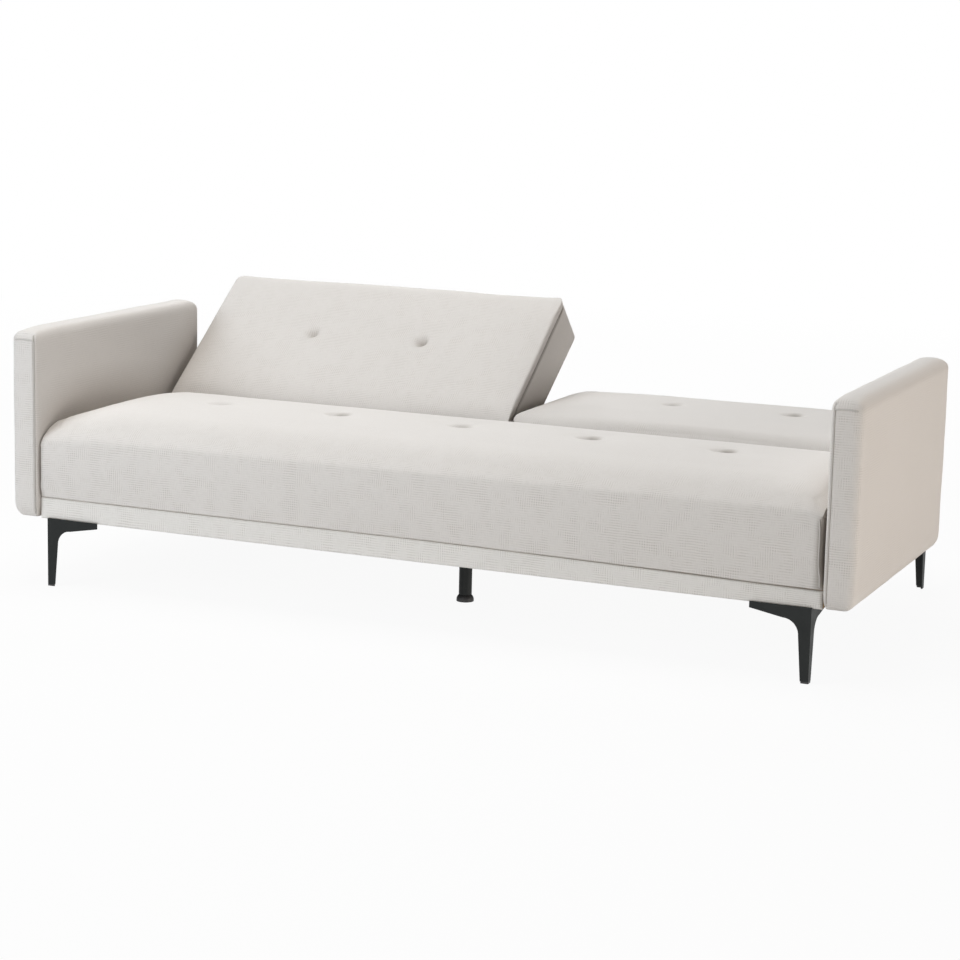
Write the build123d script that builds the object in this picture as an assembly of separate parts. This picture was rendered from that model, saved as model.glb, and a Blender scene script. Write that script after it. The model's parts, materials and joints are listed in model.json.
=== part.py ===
from build123d import *
from math import asin, atan2, cos, hypot, pi, radians, sin
import os

# A sofa bed with two fixed slim arms, one tufted seat and a back in two halves that fold flat.
# X runs to the right, Y from front to back and Z up. The origin is on the floor, at the middle of
# the outline. The left back half stands in its lounge position and the right one lies flat.

# Overall sizes in millimetres
overall_width = 2000.0
leg_height = 159.0
arm_depth = 735.0
arm_height = 427.0
arm_thickness = 69.0

# Clearances
running_gap = 0.06
plate_gap = 0.5
soft_gap = 0.3
screw_gap = 0.2
seat_side_gap = 1.5
seat_swing_gap = 6.0
cut_overrun = 5.0
profile_margin = 1.0

# Base frame
rail_height = 48.0
rail_thickness = 30.0
front_rail_setback = 19.0
base_depth = 1002.0
centre_rail_width = 44.0
cross_rail_width = 64.0
cross_rail_height = 25.0
apron_thickness = 6.0
apron_side_gap = 4.0
apron_edge_radius = 4.0
apron_hem_radius = 1.0
dust_cover_thickness = 1.0
dust_cover_lap = 12.0
buffer_radius = 14.0
buffer_height = 8.0
buffer_inset = 120.0

# Seat unit
seat_thickness = 205.0
seat_setback = 9.0
seat_crown = 18.0
seat_front_bulge = 5.0
seat_front_radius = 52.0
seat_rear_radius = 44.0
seat_bottom_radius = 6.0
seat_end_drop = 39.0
seat_end_round = 62.0
seat_end_bulge = 1.0
seat_pull_in = 3.0
seat_corner_radius = 20.0
seat_wall = 24.0
seat_frame_height = 42.0
seat_frame_member = 40.0
seat_frame_bays = 4
seat_top_padding = 34.0

# Back halves
pivot_setback = 632.0
pivot_height = 125.0
back_overhang = 68.0
back_near_end = 66.0
back_thickness = 128.0
back_crown = 11.0
arm_side_gap = 5.0
back_near_radius = 60.0
back_under_radius = 30.0
back_far_radius = 34.0
back_rear_radius = 14.0
back_side_radius = 9.0
back_hem_radius = 3.0
back_end_bow = 4.0
back_wall = 24.0
back_rear_wall = 5.0
back_frame_height = 44.0
back_frame_member = 42.0
back_frame_bays = 2
back_top_padding = 24.0
upright_angle = 75.0
lounge_notches = 3

# Webbing
webbing_width = 60.0
webbing_thickness = 2.0
webbing_spacing = 150.0

# Sewn tufts
seat_tuft_count = 5
seat_tuft_spacing = 310.0
seat_tuft_setback = 296.0
back_tuft_spacing = 300.0
back_tuft_from_top = 220.0
tuft_radius = 46.0
tuft_depth = 15.0
tuft_pinch_radius = 4.0
tuft_lip_share = 0.3
tuft_tie_radius = 1.5

# Arms
arm_edge_radius = 13.0
arm_front_top_radius = 14.0
arm_rear_top_radius = 40.0
arm_rear_bottom_radius = 30.0
arm_front_bottom_radius = 7.0
arm_inner_edge_radius = 4.0
arm_top_bow = 2.0
arm_wall = 12.0
arm_frame_member = 45.0
arm_bolt_radius = 4.0
arm_bolt_head_radius = 7.5
arm_bolt_head_height = 5.0
arm_bolt_bite = 18.0
arm_bolt_setbacks = (110.0, 340.0, 560.0)

# Corner legs
leg_inset = 21.0
leg_front_setback = 8.0
leg_sheet = 3.0
leg_wing_length = 132.0
leg_wing_end_height = 13.0
leg_wing_drop = 26.0
leg_curve_radius = 34.0
leg_foot_width = 18.0
leg_knee_width = 26.0
leg_plate_size = 62.0
leg_screw_radius = 2.5
leg_screw_head_radius = 5.0
leg_screw_head_height = 2.4
leg_screw_length = 22.0
glide_thickness = 4.0
glide_margin = 1.5

# Centre leg
centre_leg_setback = 340.0
centre_leg_radius = 15.0
centre_leg_wall = 2.0
centre_leg_plate_size = 70.0
centre_leg_plate_thickness = 3.0
centre_foot_radius = 20.0
centre_foot_height = 16.0
centre_foot_rim = 5.0
centre_foot_swell = 2.5
centre_foot_stem_radius = 6.0
centre_foot_stem_spare = 20.0
centre_foot_travel = 12.0
centre_nut_height = 14.0

# Folding hinges
hinge_plate = 4.0
hinge_arm_plate = 3.0
hinge_boss_radius = 22.0
hinge_foot_length = 60.0
hinge_foot_width = 36.0
hinge_foot_thickness = 4.0
hinge_foot_screw_inset = 9.0
hinge_tail_reach = 128.0
hinge_tail_radius = 13.0
tail_screws_share = (0.56, 0.78, 0.98)
pin_radius = 6.0
pin_head_radius = 10.0
pin_head_height = 2.5
tooth_pitch_angle = 12.5
tooth_tip_radius = 48.0
tooth_depth = 6.0
tooth_land_share = 0.35
tooth_spare_angle = 10.0
pawl_thickness = 2.4
pawl_pin_radius = 3.0
pawl_boss_radius = 7.0
pawl_drop = 76.0
pawl_offset = 34.0
pawl_nose_width = 6.0
pawl_gap = 0.3
pawl_pin_head_radius = 5.0
pawl_pin_head_height = 1.5
spring_sheet = 1.0
spring_foot_length = 18.0
spring_contact_share = 0.4
spring_bow_share = 0.2
hinge_screw_radius = 2.5
hinge_screw_head_radius = 4.5
hinge_screw_head_height = 1.6
hinge_screw_length = 20.0

# Places that follow from the sizes
bed_depth = base_depth + back_overhang
back_reach = bed_depth - pivot_setback
front_y = -bed_depth / 2
half_width = overall_width / 2
inner_half = half_width - arm_thickness
arm_bottom_z = leg_height
arm_top_z = leg_height + arm_height
base_bottom_z = leg_height
base_top_z = leg_height + rail_height
seat_top_z = base_top_z + seat_thickness
base_front_y = front_y + front_rail_setback
base_rear_y = front_y + base_depth
pivot_y = front_y + pivot_setback
pivot_z = base_top_z + pivot_height
face_w = seat_top_z - back_crown - pivot_z
under_w = face_w - back_thickness
lounge_angle = lounge_notches * tooth_pitch_angle
back_outer_x = inner_half - arm_side_gap - pin_head_height - hinge_plate - plate_gap - hinge_arm_plate
back_inner_x = hinge_plate / 2 + plate_gap + hinge_arm_plate
near_corner_reach = back_near_radius + hypot(back_near_end - back_near_radius,
                                             face_w + back_crown - back_near_radius)
seat_front_y = front_y + seat_setback
seat_rear_y = pivot_y - near_corner_reach - seat_swing_gap
seat_half = inner_half - seat_side_gap
cross_rail_front_y = pivot_y - cross_rail_width / 2
cross_rail_rear_y = pivot_y + cross_rail_width / 2
rear_rail_top_z = pivot_z + under_w - soft_gap - buffer_height
rail_reach = inner_half - rail_thickness
leg_outer_x = inner_half - leg_inset
leg_front_y = front_y + leg_front_setback
leg_rear_y = base_rear_y - leg_front_setback
centre_leg_y = front_y + centre_leg_setback
centre_stem_length = centre_foot_travel + centre_nut_height + centre_foot_stem_spare
bracket_low_x = back_outer_x + hinge_arm_plate + plate_gap
bracket_high_x = bracket_low_x + hinge_plate
pawl_high_x = bracket_low_x - plate_gap / 2
pawl_low_x = pawl_high_x - pawl_thickness
pawl_pin_y = pivot_y - pawl_offset
pawl_pin_z = pivot_z - pawl_drop


def block(low_x, high_x, low_y, high_y, low_z, high_z):
    middle = ((low_x + high_x) / 2, (low_y + high_y) / 2, (low_z + high_z) / 2)
    return Pos(*middle) * Box(high_x - low_x, high_y - low_y, high_z - low_z)


def rod(radius, start, end):
    axis = Vector(*end) - Vector(*start)
    plane = Plane(origin=start, z_dir=axis)
    return extrude(plane * Circle(radius), axis.length)


def mirrored(shape):
    return mirror(shape, about=Plane.YZ)


def one_node(solids):
    return Compound([solid for shape in solids for solid in shape.solids()])


def prism_x(edges, low_x, high_x):
    # edges lie in the plane X = 0, the prism runs from low_x to high_x
    return Pos(low_x, 0, 0) * extrude(make_face(edges), high_x - low_x, dir=(1, 0, 0))


def prism_y(edges, low_y, high_y):
    # edges lie in the plane Y = 0
    return Pos(0, low_y, 0) * extrude(make_face(edges), high_y - low_y, dir=(0, 1, 0))


def prism_z(edges, low_z, high_z):
    # edges lie in the plane Z = 0
    return Pos(0, 0, low_z) * extrude(make_face(edges), high_z - low_z, dir=(0, 0, 1))


def rounded_outline(place, low, high, radii, bows):
    """Four sides, each a flat arc or a line, joined by quarter arcs.

    place turns a pair (a, b) into a point. radii and bows go round from the low-a, low-b corner and
    the low-b side: bottom, right, top, left. A bow above zero stands outwards.
    """
    low_a, low_b = low
    high_a, high_b = high
    corners = [(low_a, low_b), (high_a, low_b), (high_a, high_b), (low_a, high_b)]
    along = [(1, 0), (0, 1), (-1, 0), (0, -1)]
    edges = []
    for index in range(4):
        after = (index + 1) % 4
        step = along[index]
        out = (step[1], -step[0])
        start = [corners[index][k] + radii[index] * step[k] for k in range(2)]
        end = [corners[after][k] - radii[after] * step[k] for k in range(2)]
        if bows[index] == 0:
            edges.append(Line(place(*start), place(*end)))
        else:
            middle = [(start[k] + end[k]) / 2 + bows[index] * out[k] for k in range(2)]
            edges.append(ThreePointArc(place(*start), place(*middle), place(*end)))
        turn = along[after]
        centre = [end[k] + radii[after] * turn[k] for k in range(2)]
        diagonal = [step[k] - turn[k] for k in range(2)]
        elbow = [centre[k] + radii[after] * diagonal[k] / hypot(*diagonal) for k in range(2)]
        finish = [corners[after][k] + radii[after] * turn[k] for k in range(2)]
        edges.append(ThreePointArc(place(*end), place(*elbow), place(*finish)))
    return edges


def chain(place, points):
    return [Line(place(*a), place(*b)) for a, b in zip(points, points[1:])]


def in_yz(y, z):
    return (0, y, z)


def in_xz(x, z):
    return (x, 0, z)


def in_xy(x, y):
    return (x, y, 0)


# The base

def front_rail():
    rail = block(-rail_reach, rail_reach, base_front_y, base_front_y + rail_thickness,
                 base_bottom_z, base_top_z)
    return rail - at_four_corners(leg_screw_rods(0))


def rear_rail():
    rail = block(-rail_reach, rail_reach, base_rear_y - rail_thickness, base_rear_y,
                 base_bottom_z, rear_rail_top_z)
    return rail - at_four_corners(leg_screw_rods(0))


def side_rail():
    rail = block(rail_reach, inner_half, base_front_y, base_rear_y, base_bottom_z, base_top_z)
    return rail - arm_bolt_holes()


def centre_rail():
    half = centre_rail_width / 2
    rail = block(-half, half, base_front_y + rail_thickness, base_rear_y - rail_thickness,
                 base_bottom_z, base_top_z)
    return rail - block(-half, half, cross_rail_front_y, cross_rail_rear_y,
                        base_top_z - cross_rail_height, base_top_z)


def cross_rail():
    rail = block(-rail_reach, rail_reach, cross_rail_front_y, cross_rail_rear_y,
                 base_top_z - cross_rail_height, base_top_z)
    return rail - hinge_foot_screw_rods(0)


def apron_cover():
    half = inner_half - apron_side_gap
    edges = rounded_outline(in_yz, (base_front_y - apron_thickness, base_bottom_z),
                            (base_front_y, base_top_z),
                            (apron_edge_radius, apron_hem_radius, apron_hem_radius, apron_edge_radius),
                            (0, 0, 0, 0))
    return prism_x(edges, -half, half)


def rear_buffers():
    y = base_rear_y - rail_thickness / 2
    low, high = rear_rail_top_z, rear_rail_top_z + buffer_height
    radius = min(buffer_radius, rail_thickness / 2)
    right = [back_inner_x + buffer_inset, back_outer_x - buffer_inset]
    return one_node([rod(radius, (side * x, y, low), (side * x, y, high))
                     for side in (-1, 1) for x in right])


def dust_cover():
    top = base_bottom_z
    half = leg_outer_x - leg_sheet - soft_gap
    low_y = base_front_y + dust_cover_lap
    high_y = base_rear_y - dust_cover_lap
    low_z, high_z = top - cut_overrun, top + cut_overrun
    sheet = block(-half, half, low_y, high_y, top - dust_cover_thickness, top)
    corner_x = leg_outer_x - leg_plate_size - soft_gap
    corner_y = leg_front_y + leg_plate_size + soft_gap
    for side in (-1, 1):
        start, end = sorted((side * corner_x, side * inner_half))
        sheet -= block(start, end, front_y, corner_y, low_z, high_z)
        sheet -= to_rear(block(start, end, front_y, corner_y, low_z, high_z))
    plate = centre_leg_plate_size / 2 + soft_gap
    return sheet - block(-plate, plate, centre_leg_y - plate, centre_leg_y + plate, low_z, high_z)


# The arms

def arm_bolt_places():
    return [(front_y + setback, base_bottom_z + rail_height / 2) for setback in arm_bolt_setbacks]


def arm_bolt_holes():
    inside = rail_reach - cut_overrun
    outside = inner_half + arm_wall + arm_bolt_bite
    return [rod(arm_bolt_radius + screw_gap, (inside, y, z), (outside, y, z))
            for y, z in arm_bolt_places()]


def arm_core_box():
    return (inner_half + arm_wall, half_width - arm_wall, front_y + arm_wall,
            front_y + arm_depth - arm_wall, arm_bottom_z + arm_wall, arm_top_z - arm_wall)


def arm_core():
    """The space inside an arm cover, with the cover's rounding at its two rear corners."""
    low_x, high_x, low_y, high_y, low_z, high_z = arm_core_box()
    edges = rounded_outline(in_yz, (low_y, low_z), (high_y, high_z),
                            (arm_inner_edge_radius, arm_rear_bottom_radius - arm_wall,
                             arm_rear_top_radius - arm_wall, arm_inner_edge_radius), (0, 0, 0, 0))
    return prism_x(edges, low_x, high_x)


def arm_cover():
    low_x, high_x = inner_half, half_width
    low_y, high_y = front_y, front_y + arm_depth
    edge = arm_edge_radius
    side = rounded_outline(in_yz, (low_y, arm_bottom_z), (high_y, arm_top_z),
                           (arm_front_bottom_radius, arm_rear_bottom_radius,
                            arm_rear_top_radius, arm_front_top_radius), (0, 0, 0, 0))
    front = rounded_outline(in_xz, (low_x, arm_bottom_z), (high_x, arm_top_z),
                            (arm_inner_edge_radius, edge, edge, edge), (0, 0, arm_top_bow, 0))
    plan = rounded_outline(in_xy, (low_x, low_y), (high_x, high_y),
                           (arm_inner_edge_radius, edge, edge, edge), (0, 0, 0, 0))
    body = prism_x(side, low_x, high_x)
    body &= prism_y(front, low_y - cut_overrun, high_y + cut_overrun)
    body &= prism_z(plan, arm_bottom_z - cut_overrun, arm_top_z + cut_overrun)
    return body - arm_core() - arm_bolt_holes()


def arm_frame():
    low_x, high_x, low_y, high_y, low_z, high_z = arm_core_box()
    member = arm_frame_member
    middle_y = (low_y + high_y) / 2
    frame = arm_core()
    bays = ((low_y + member, middle_y - member / 2), (middle_y + member / 2, high_y - member))
    for start, end in bays:
        frame -= block(low_x - cut_overrun, high_x + cut_overrun, start, end,
                       low_z + member, high_z - member)
    return frame - arm_bolt_holes()


def arm_bolts():
    tip_x = inner_half + arm_wall + arm_bolt_bite
    bolts = []
    for y, z in arm_bolt_places():
        plane = Plane(origin=(rail_reach - arm_bolt_head_height, y, z), z_dir=(1, 0, 0))
        head = extrude(plane * RegularPolygon(arm_bolt_head_radius, 6), arm_bolt_head_height)
        bolts.append(head + rod(arm_bolt_radius, (rail_reach, y, z), (tip_x, y, z)))
    return one_node(bolts)


# The legs

def blade_edges(place):
    """One wing seen flat: a is the distance in from the outer corner, b the height."""
    top, low = base_bottom_z, glide_thickness
    knee = top - leg_wing_drop
    curve_end = knee - leg_curve_radius
    bend = leg_knee_width + leg_curve_radius
    elbow = leg_curve_radius * (1 - cos(pi / 4))
    outline = [(0, low), (0, top), (leg_wing_length, top),
               (leg_wing_length, top - leg_wing_end_height), (bend, knee)]
    foot = [(leg_knee_width, curve_end), (leg_foot_width, low), (0, low)]
    arc = ThreePointArc(place(bend, knee), place(leg_knee_width + elbow, knee - elbow),
                        place(leg_knee_width, curve_end))
    return chain(place, outline) + [arc] + chain(place, foot)


def corner_leg():
    """The front leg on the right side, its corner outwards and forwards."""
    top = base_bottom_z
    leg = prism_y(blade_edges(lambda a, b: (leg_outer_x - a, 0, b)), leg_front_y, leg_front_y + leg_sheet)
    leg += prism_x(blade_edges(lambda a, b: (0, leg_front_y + a, b)), leg_outer_x - leg_sheet, leg_outer_x)
    inner_x, inner_y = leg_outer_x - leg_plate_size, leg_front_y + leg_plate_size
    corner = [(leg_outer_x, leg_front_y), (inner_x, leg_front_y), (leg_outer_x, inner_y),
              (leg_outer_x, leg_front_y)]
    leg += prism_z(chain(in_xy, corner), top - leg_sheet, top)
    return leg - leg_screw_rods(screw_gap)


def leg_screw_places():
    near, far = leg_plate_size / 4, leg_plate_size / 2
    return [(leg_outer_x - near, leg_front_y + near), (leg_outer_x - far, leg_front_y + near),
            (leg_outer_x - near, leg_front_y + far)]


def leg_screw_rods(grow):
    low, high = base_bottom_z - leg_sheet, base_bottom_z - leg_sheet + leg_screw_length
    return [rod(leg_screw_radius + grow, (x, y, low), (x, y, high)) for x, y in leg_screw_places()]


def corner_leg_screws():
    low = base_bottom_z - leg_sheet
    return [shank + rod(leg_screw_head_radius, (x, y, low - leg_screw_head_height), (x, y, low))
            for shank, (x, y) in zip(leg_screw_rods(0), leg_screw_places())]


def corner_glide():
    reach = leg_foot_width - glide_margin
    glide = block(leg_outer_x - reach, leg_outer_x, leg_front_y, leg_front_y + leg_sheet, 0, glide_thickness)
    return glide + block(leg_outer_x - leg_sheet, leg_outer_x, leg_front_y, leg_front_y + reach,
                         0, glide_thickness)


def to_rear(shape):
    middle_y = (leg_front_y + leg_rear_y) / 2
    return mirror(shape, about=Plane(origin=(0, middle_y, 0), z_dir=(0, 1, 0)))


def at_four_corners(solids):
    right = list(solids) + [to_rear(solid) for solid in solids]
    return one_node(right + [mirrored(solid) for solid in right])


def centre_leg():
    top = base_bottom_z
    low = centre_foot_height + soft_gap
    under_plate = top - centre_leg_plate_thickness
    half = centre_leg_plate_size / 2
    y = centre_leg_y
    leg = block(-half, half, y - half, y + half, under_plate, top)
    leg += rod(centre_leg_radius, (0, y, low), (0, y, under_plate))
    leg -= rod(centre_leg_radius - centre_leg_wall, (0, y, low + centre_nut_height), (0, y, under_plate))
    return leg - rod(centre_foot_stem_radius + running_gap, (0, y, low - cut_overrun),
                     (0, y, low + centre_nut_height + cut_overrun))


def centre_foot():
    rim, height = centre_foot_rim, centre_foot_height
    wide, neck = centre_foot_radius, centre_leg_radius - centre_leg_wall
    swell = ((wide + neck) / 2, (rim + height) / 2 + centre_foot_swell)
    edges = chain(in_xz, [(neck, height), (0, height), (0, 0), (wide, 0), (wide, rim)])
    edges.append(ThreePointArc(in_xz(wide, rim), in_xz(*swell), in_xz(neck, height)))
    dome = Pos(0, centre_leg_y, 0) * revolve(make_face(edges), Axis.Z)
    return dome + rod(centre_foot_stem_radius, (0, centre_leg_y, height),
                      (0, centre_leg_y, height + centre_stem_length))


# Frames, webbing and tufts that the seat and the back halves share

def ladder_frame(box, height, member, bays):
    """A flat timber frame whose cross members are evenly spaced along X."""
    low_x, high_x, low_y, high_y, low_z = box[:5]
    frame = block(low_x, high_x, low_y, high_y, low_z, low_z + height)
    bay = (high_x - low_x - member * (bays + 1)) / bays
    for index in range(bays):
        start = low_x + member + index * (bay + member)
        frame -= block(start, start + bay, low_y + member, high_y - member,
                       low_z - cut_overrun, low_z + height + cut_overrun)
    return frame


def webbing(box, low_z):
    """Straps across a frame: one layer from front to back, and on it one from side to side."""
    low_x, high_x, low_y, high_y = box[:4]
    middle_z, high_z = low_z + webbing_thickness, low_z + 2 * webbing_thickness
    straps = []
    for middle in strap_places(low_x, high_x):
        straps.append(block(middle - webbing_width / 2, middle + webbing_width / 2,
                            low_y, high_y, low_z, middle_z))
    for middle in strap_places(low_y, high_y):
        straps.append(block(low_x, high_x, middle - webbing_width / 2, middle + webbing_width / 2,
                            middle_z, high_z))
    return one_node(straps)


def strap_places(start, end):
    count = max(1, int((end - start) / webbing_spacing))
    step = (end - start) / count
    return [start + (index + 1 / 2) * step for index in range(count)]


def foam_block(box, frame_height):
    low_x, high_x, low_y, high_y, low_z, high_z = box
    return block(low_x, high_x, low_y, high_y, low_z + frame_height + 2 * webbing_thickness, high_z)


def tuft_pit(x, y, crown_z):
    """What a sewn tuft takes out of a crowned face, from just above the crown to the pinch."""
    depth = tuft_depth + profile_margin
    lip_radius = tuft_pinch_radius + tuft_lip_share * (tuft_radius - tuft_pinch_radius)
    edges = chain(in_xz, [(tuft_radius, 0), (tuft_radius, depth), (0, depth), (0, -depth),
                          (tuft_pinch_radius, -depth)])
    edges.append(ThreePointArc(in_xz(tuft_pinch_radius, -depth), in_xz(lip_radius, -tuft_lip_share * depth),
                               in_xz(tuft_radius, 0)))
    return Pos(x, y, crown_z + profile_margin) * revolve(make_face(edges), Axis.Z)


def tuft_ties(places, low, high, grow, overrun):
    return [rod(tuft_tie_radius + grow, (x, y, low - overrun), (x, y, high + overrun)) for x, y in places]


# The seat

def seat_tuft_places():
    middle = (seat_tuft_count - 1) / 2
    return [((index - middle) * seat_tuft_spacing, front_y + seat_tuft_setback)
            for index in range(seat_tuft_count)]


def seat_core_box():
    return (-seat_half + seat_wall, seat_half - seat_wall, seat_front_y + seat_wall,
            seat_rear_y - seat_wall, base_top_z, seat_top_z - seat_crown - seat_top_padding)


def seat_front_edges():
    """The seat from the front: flat below, full sides and a top that rounds down at both ends."""
    low, high, end = base_top_z - profile_margin, seat_top_z + profile_margin, seat_half
    shoulder, knee = high - seat_end_drop, end - seat_end_round
    radius = (seat_end_round ** 2 + seat_end_drop ** 2) / (2 * seat_end_drop)
    half_turn = asin(seat_end_round / radius) / 2
    bend_x = knee + radius * sin(half_turn)
    bend_z = high - radius * (1 - cos(half_turn))
    middle_z, wide = (low + shoulder) / 2, end + seat_end_bulge
    return [Line(in_xz(-end, low), in_xz(end, low)),
            ThreePointArc(in_xz(end, low), in_xz(wide, middle_z), in_xz(end, shoulder)),
            ThreePointArc(in_xz(end, shoulder), in_xz(bend_x, bend_z), in_xz(knee, high)),
            Line(in_xz(knee, high), in_xz(-knee, high)),
            ThreePointArc(in_xz(-knee, high), in_xz(-bend_x, bend_z), in_xz(-end, shoulder)),
            ThreePointArc(in_xz(-end, shoulder), in_xz(-wide, middle_z), in_xz(-end, low))]


def seat_cover():
    front, rear, wide = seat_front_y, seat_rear_y, seat_half + seat_end_bulge
    side = rounded_outline(in_yz, (front, base_top_z), (rear, seat_top_z - seat_crown),
                           (seat_bottom_radius, seat_bottom_radius, seat_rear_radius, seat_front_radius),
                           (0, 0, seat_crown, seat_front_bulge))
    corner, pull = seat_corner_radius, seat_pull_in + profile_margin
    plan = rounded_outline(in_xy, (-wide - profile_margin, front - 2 * seat_front_bulge),
                           (wide + profile_margin, rear + profile_margin),
                           (corner, corner, corner, corner), (0, -pull, -pull, -pull))
    body = prism_x(side, -wide - cut_overrun, wide + cut_overrun)
    body &= prism_y(seat_front_edges(), front - 2 * seat_front_bulge, rear + cut_overrun)
    body &= prism_z(plan, base_top_z - cut_overrun, seat_top_z + cut_overrun)
    for x, y in seat_tuft_places():
        body -= tuft_pit(x, y, seat_top_z)
    return body - block(*seat_core_box()) - seat_ties(screw_gap, cut_overrun)


def seat_ties(grow, overrun):
    low = base_top_z + seat_frame_height + 2 * webbing_thickness
    return tuft_ties(seat_tuft_places(), low, seat_top_z - tuft_depth, grow, overrun)


def seat_frame():
    return ladder_frame(seat_core_box(), seat_frame_height, seat_frame_member, seat_frame_bays)


def seat_webbing():
    return webbing(seat_core_box(), base_top_z + seat_frame_height)


def seat_foam():
    return foam_block(seat_core_box(), seat_frame_height) - seat_ties(screw_gap, cut_overrun)


# The back halves, drawn for the right side and lying flat

def back_core_box():
    return (back_inner_x + back_wall, back_outer_x - back_wall, pivot_y - back_near_end + back_wall,
            pivot_y + back_reach - back_wall, pivot_z + under_w + back_rear_wall,
            pivot_z + face_w - back_top_padding)


def back_tuft_places():
    middle = (back_inner_x + back_outer_x) / 2
    y = pivot_y + back_reach - back_tuft_from_top
    return [(middle - back_tuft_spacing / 2, y), (middle + back_tuft_spacing / 2, y)]


def back_cover():
    low_y, high_y = pivot_y - back_near_end, pivot_y + back_reach
    low_z, high_z = pivot_z + under_w, pivot_z + face_w
    edge, hem = back_side_radius, back_hem_radius
    side = rounded_outline(in_yz, (low_y, low_z), (high_y, high_z),
                           (back_under_radius, back_rear_radius, back_far_radius, back_near_radius),
                           (0, 0, back_crown, 0))
    front = rounded_outline(in_xz, (back_inner_x, low_z), (back_outer_x, high_z + back_crown / 2),
                            (hem, hem, edge, edge), (0, 0, back_crown / 2 + profile_margin, 0))
    plan = rounded_outline(in_xy, (back_inner_x, low_y - cut_overrun), (back_outer_x, high_y - back_end_bow),
                           (edge, edge, edge, edge), (0, 0, back_end_bow + hem, 0))
    body = prism_x(side, back_inner_x, back_outer_x)
    body &= prism_y(front, low_y - cut_overrun, high_y + cut_overrun)
    body &= prism_z(plan, low_z - cut_overrun, high_z + 2 * back_crown)
    for x, y in back_tuft_places():
        body -= tuft_pit(x, y, high_z + back_crown)
    body -= block(*back_core_box())
    return body - back_ties(screw_gap, cut_overrun) - tail_screw_rods(screw_gap)


def back_ties(grow, overrun):
    low = back_core_box()[4] + back_frame_height + 2 * webbing_thickness
    return tuft_ties(back_tuft_places(), low, pivot_z + face_w + back_crown - tuft_depth, grow, overrun)


def back_frame():
    frame = ladder_frame(back_core_box(), back_frame_height, back_frame_member, back_frame_bays)
    return frame - tail_screw_rods(0)


def back_webbing():
    return webbing(back_core_box(), back_core_box()[4] + back_frame_height)


def back_foam():
    return foam_block(back_core_box(), back_frame_height) - back_ties(screw_gap, cut_overrun)


# The hinges, drawn at the outer station of the right half, with the moving plate lying flat

def polar(radius, angle):
    return pivot_y + radius * cos(radians(angle)), pivot_z + radius * sin(radians(angle))


def sector_edges():
    """Saw teeth below the pivot, which pass the pawl as the half goes from flat to upright."""
    first = tooth_spare_angle - 90
    count = round((upright_angle + 2 * tooth_spare_angle) / tooth_pitch_angle)
    points = [(pivot_y, pivot_z)]
    for index in range(count):
        start = first - index * tooth_pitch_angle
        points.append(polar(tooth_tip_radius, start))
        points.append(polar(tooth_tip_radius - tooth_depth, start - tooth_land_share * tooth_pitch_angle))
    points.append(polar(tooth_tip_radius, first - count * tooth_pitch_angle))
    points.append(points[0])
    return chain(in_yz, points)


def strap_edges(start, start_radius, end, end_radius):
    """Two round ends joined by their outer tangents, in the plane of Y and Z."""
    heading = atan2(end[1] - start[1], end[0] - start[0])
    length = hypot(end[1] - start[1], end[0] - start[0])
    lean = pi / 2 - asin((start_radius - end_radius) / length)

    def on_round(centre, radius, angle):
        return in_yz(centre[0] + radius * cos(angle), centre[1] + radius * sin(angle))

    upper = [on_round(start, start_radius, heading + lean), on_round(end, end_radius, heading + lean)]
    lower = [on_round(end, end_radius, heading - lean), on_round(start, start_radius, heading - lean)]
    return [Line(*upper), ThreePointArc(upper[1], on_round(end, end_radius, heading), lower[0]),
            Line(*lower), ThreePointArc(lower[1], on_round(start, start_radius, heading + pi), upper[0])]


def tail_end():
    return pivot_y + hinge_tail_reach, pivot_z + under_w + back_rear_wall + back_frame_height / 2


def tail_screw_places():
    end_y, end_z = tail_end()
    return [(pivot_y + share * (end_y - pivot_y), pivot_z + share * (end_z - pivot_z))
            for share in tail_screws_share]


def tail_screw_rods(grow):
    """Screws through the moving plates and the cover into both side members of the frame."""
    rods = []
    for y, z in tail_screw_places():
        for start, way in ((back_outer_x + hinge_arm_plate, -1), (back_inner_x - hinge_arm_plate, 1)):
            end = start + way * (hinge_arm_plate + back_wall + hinge_screw_length)
            rods.append(rod(hinge_screw_radius + grow, (start, y, z), (end, y, z)))
    return rods


def tail_screws():
    heads = []
    for y, z in tail_screw_places():
        for start, way in ((back_outer_x + hinge_arm_plate, 1), (back_inner_x - hinge_arm_plate, -1)):
            end = start + way * hinge_screw_head_height
            heads.append(rod(hinge_screw_head_radius, (start, y, z), (end, y, z)))
    return one_node([shank + head for shank, head in zip(tail_screw_rods(0), heads)])


def moving_plate(low_x, toothed):
    high_x = low_x + hinge_arm_plate
    edges = strap_edges((pivot_y, pivot_z), hinge_boss_radius, tail_end(), hinge_tail_radius)
    plate = prism_x(edges, low_x, high_x)
    if toothed:
        plate += prism_x(sector_edges(), low_x, high_x)
    bore = rod(pin_radius + running_gap, (low_x - cut_overrun, pivot_y, pivot_z),
               (high_x + cut_overrun, pivot_y, pivot_z))
    return plate - bore - tail_screw_rods(0)


def standing_plate(low_x, high_x):
    """The upright of a bracket, from its foot to the round boss at the pivot."""
    wide = hinge_foot_length / 2
    edges = strap_edges((pivot_y, base_top_z + wide), wide, (pivot_y, pivot_z), hinge_boss_radius)
    plate = prism_x(edges, low_x, high_x)
    plate += block(low_x, high_x, pivot_y - wide, pivot_y + wide, base_top_z, base_top_z + wide)
    return plate - rod(pin_radius, (low_x - cut_overrun, pivot_y, pivot_z),
                       (high_x + cut_overrun, pivot_y, pivot_z))


def bracket_foot(low_x, high_x):
    wide = hinge_foot_length / 2
    return block(low_x, high_x, pivot_y - wide, pivot_y + wide,
                 base_top_z, base_top_z + hinge_foot_thickness)


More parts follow.
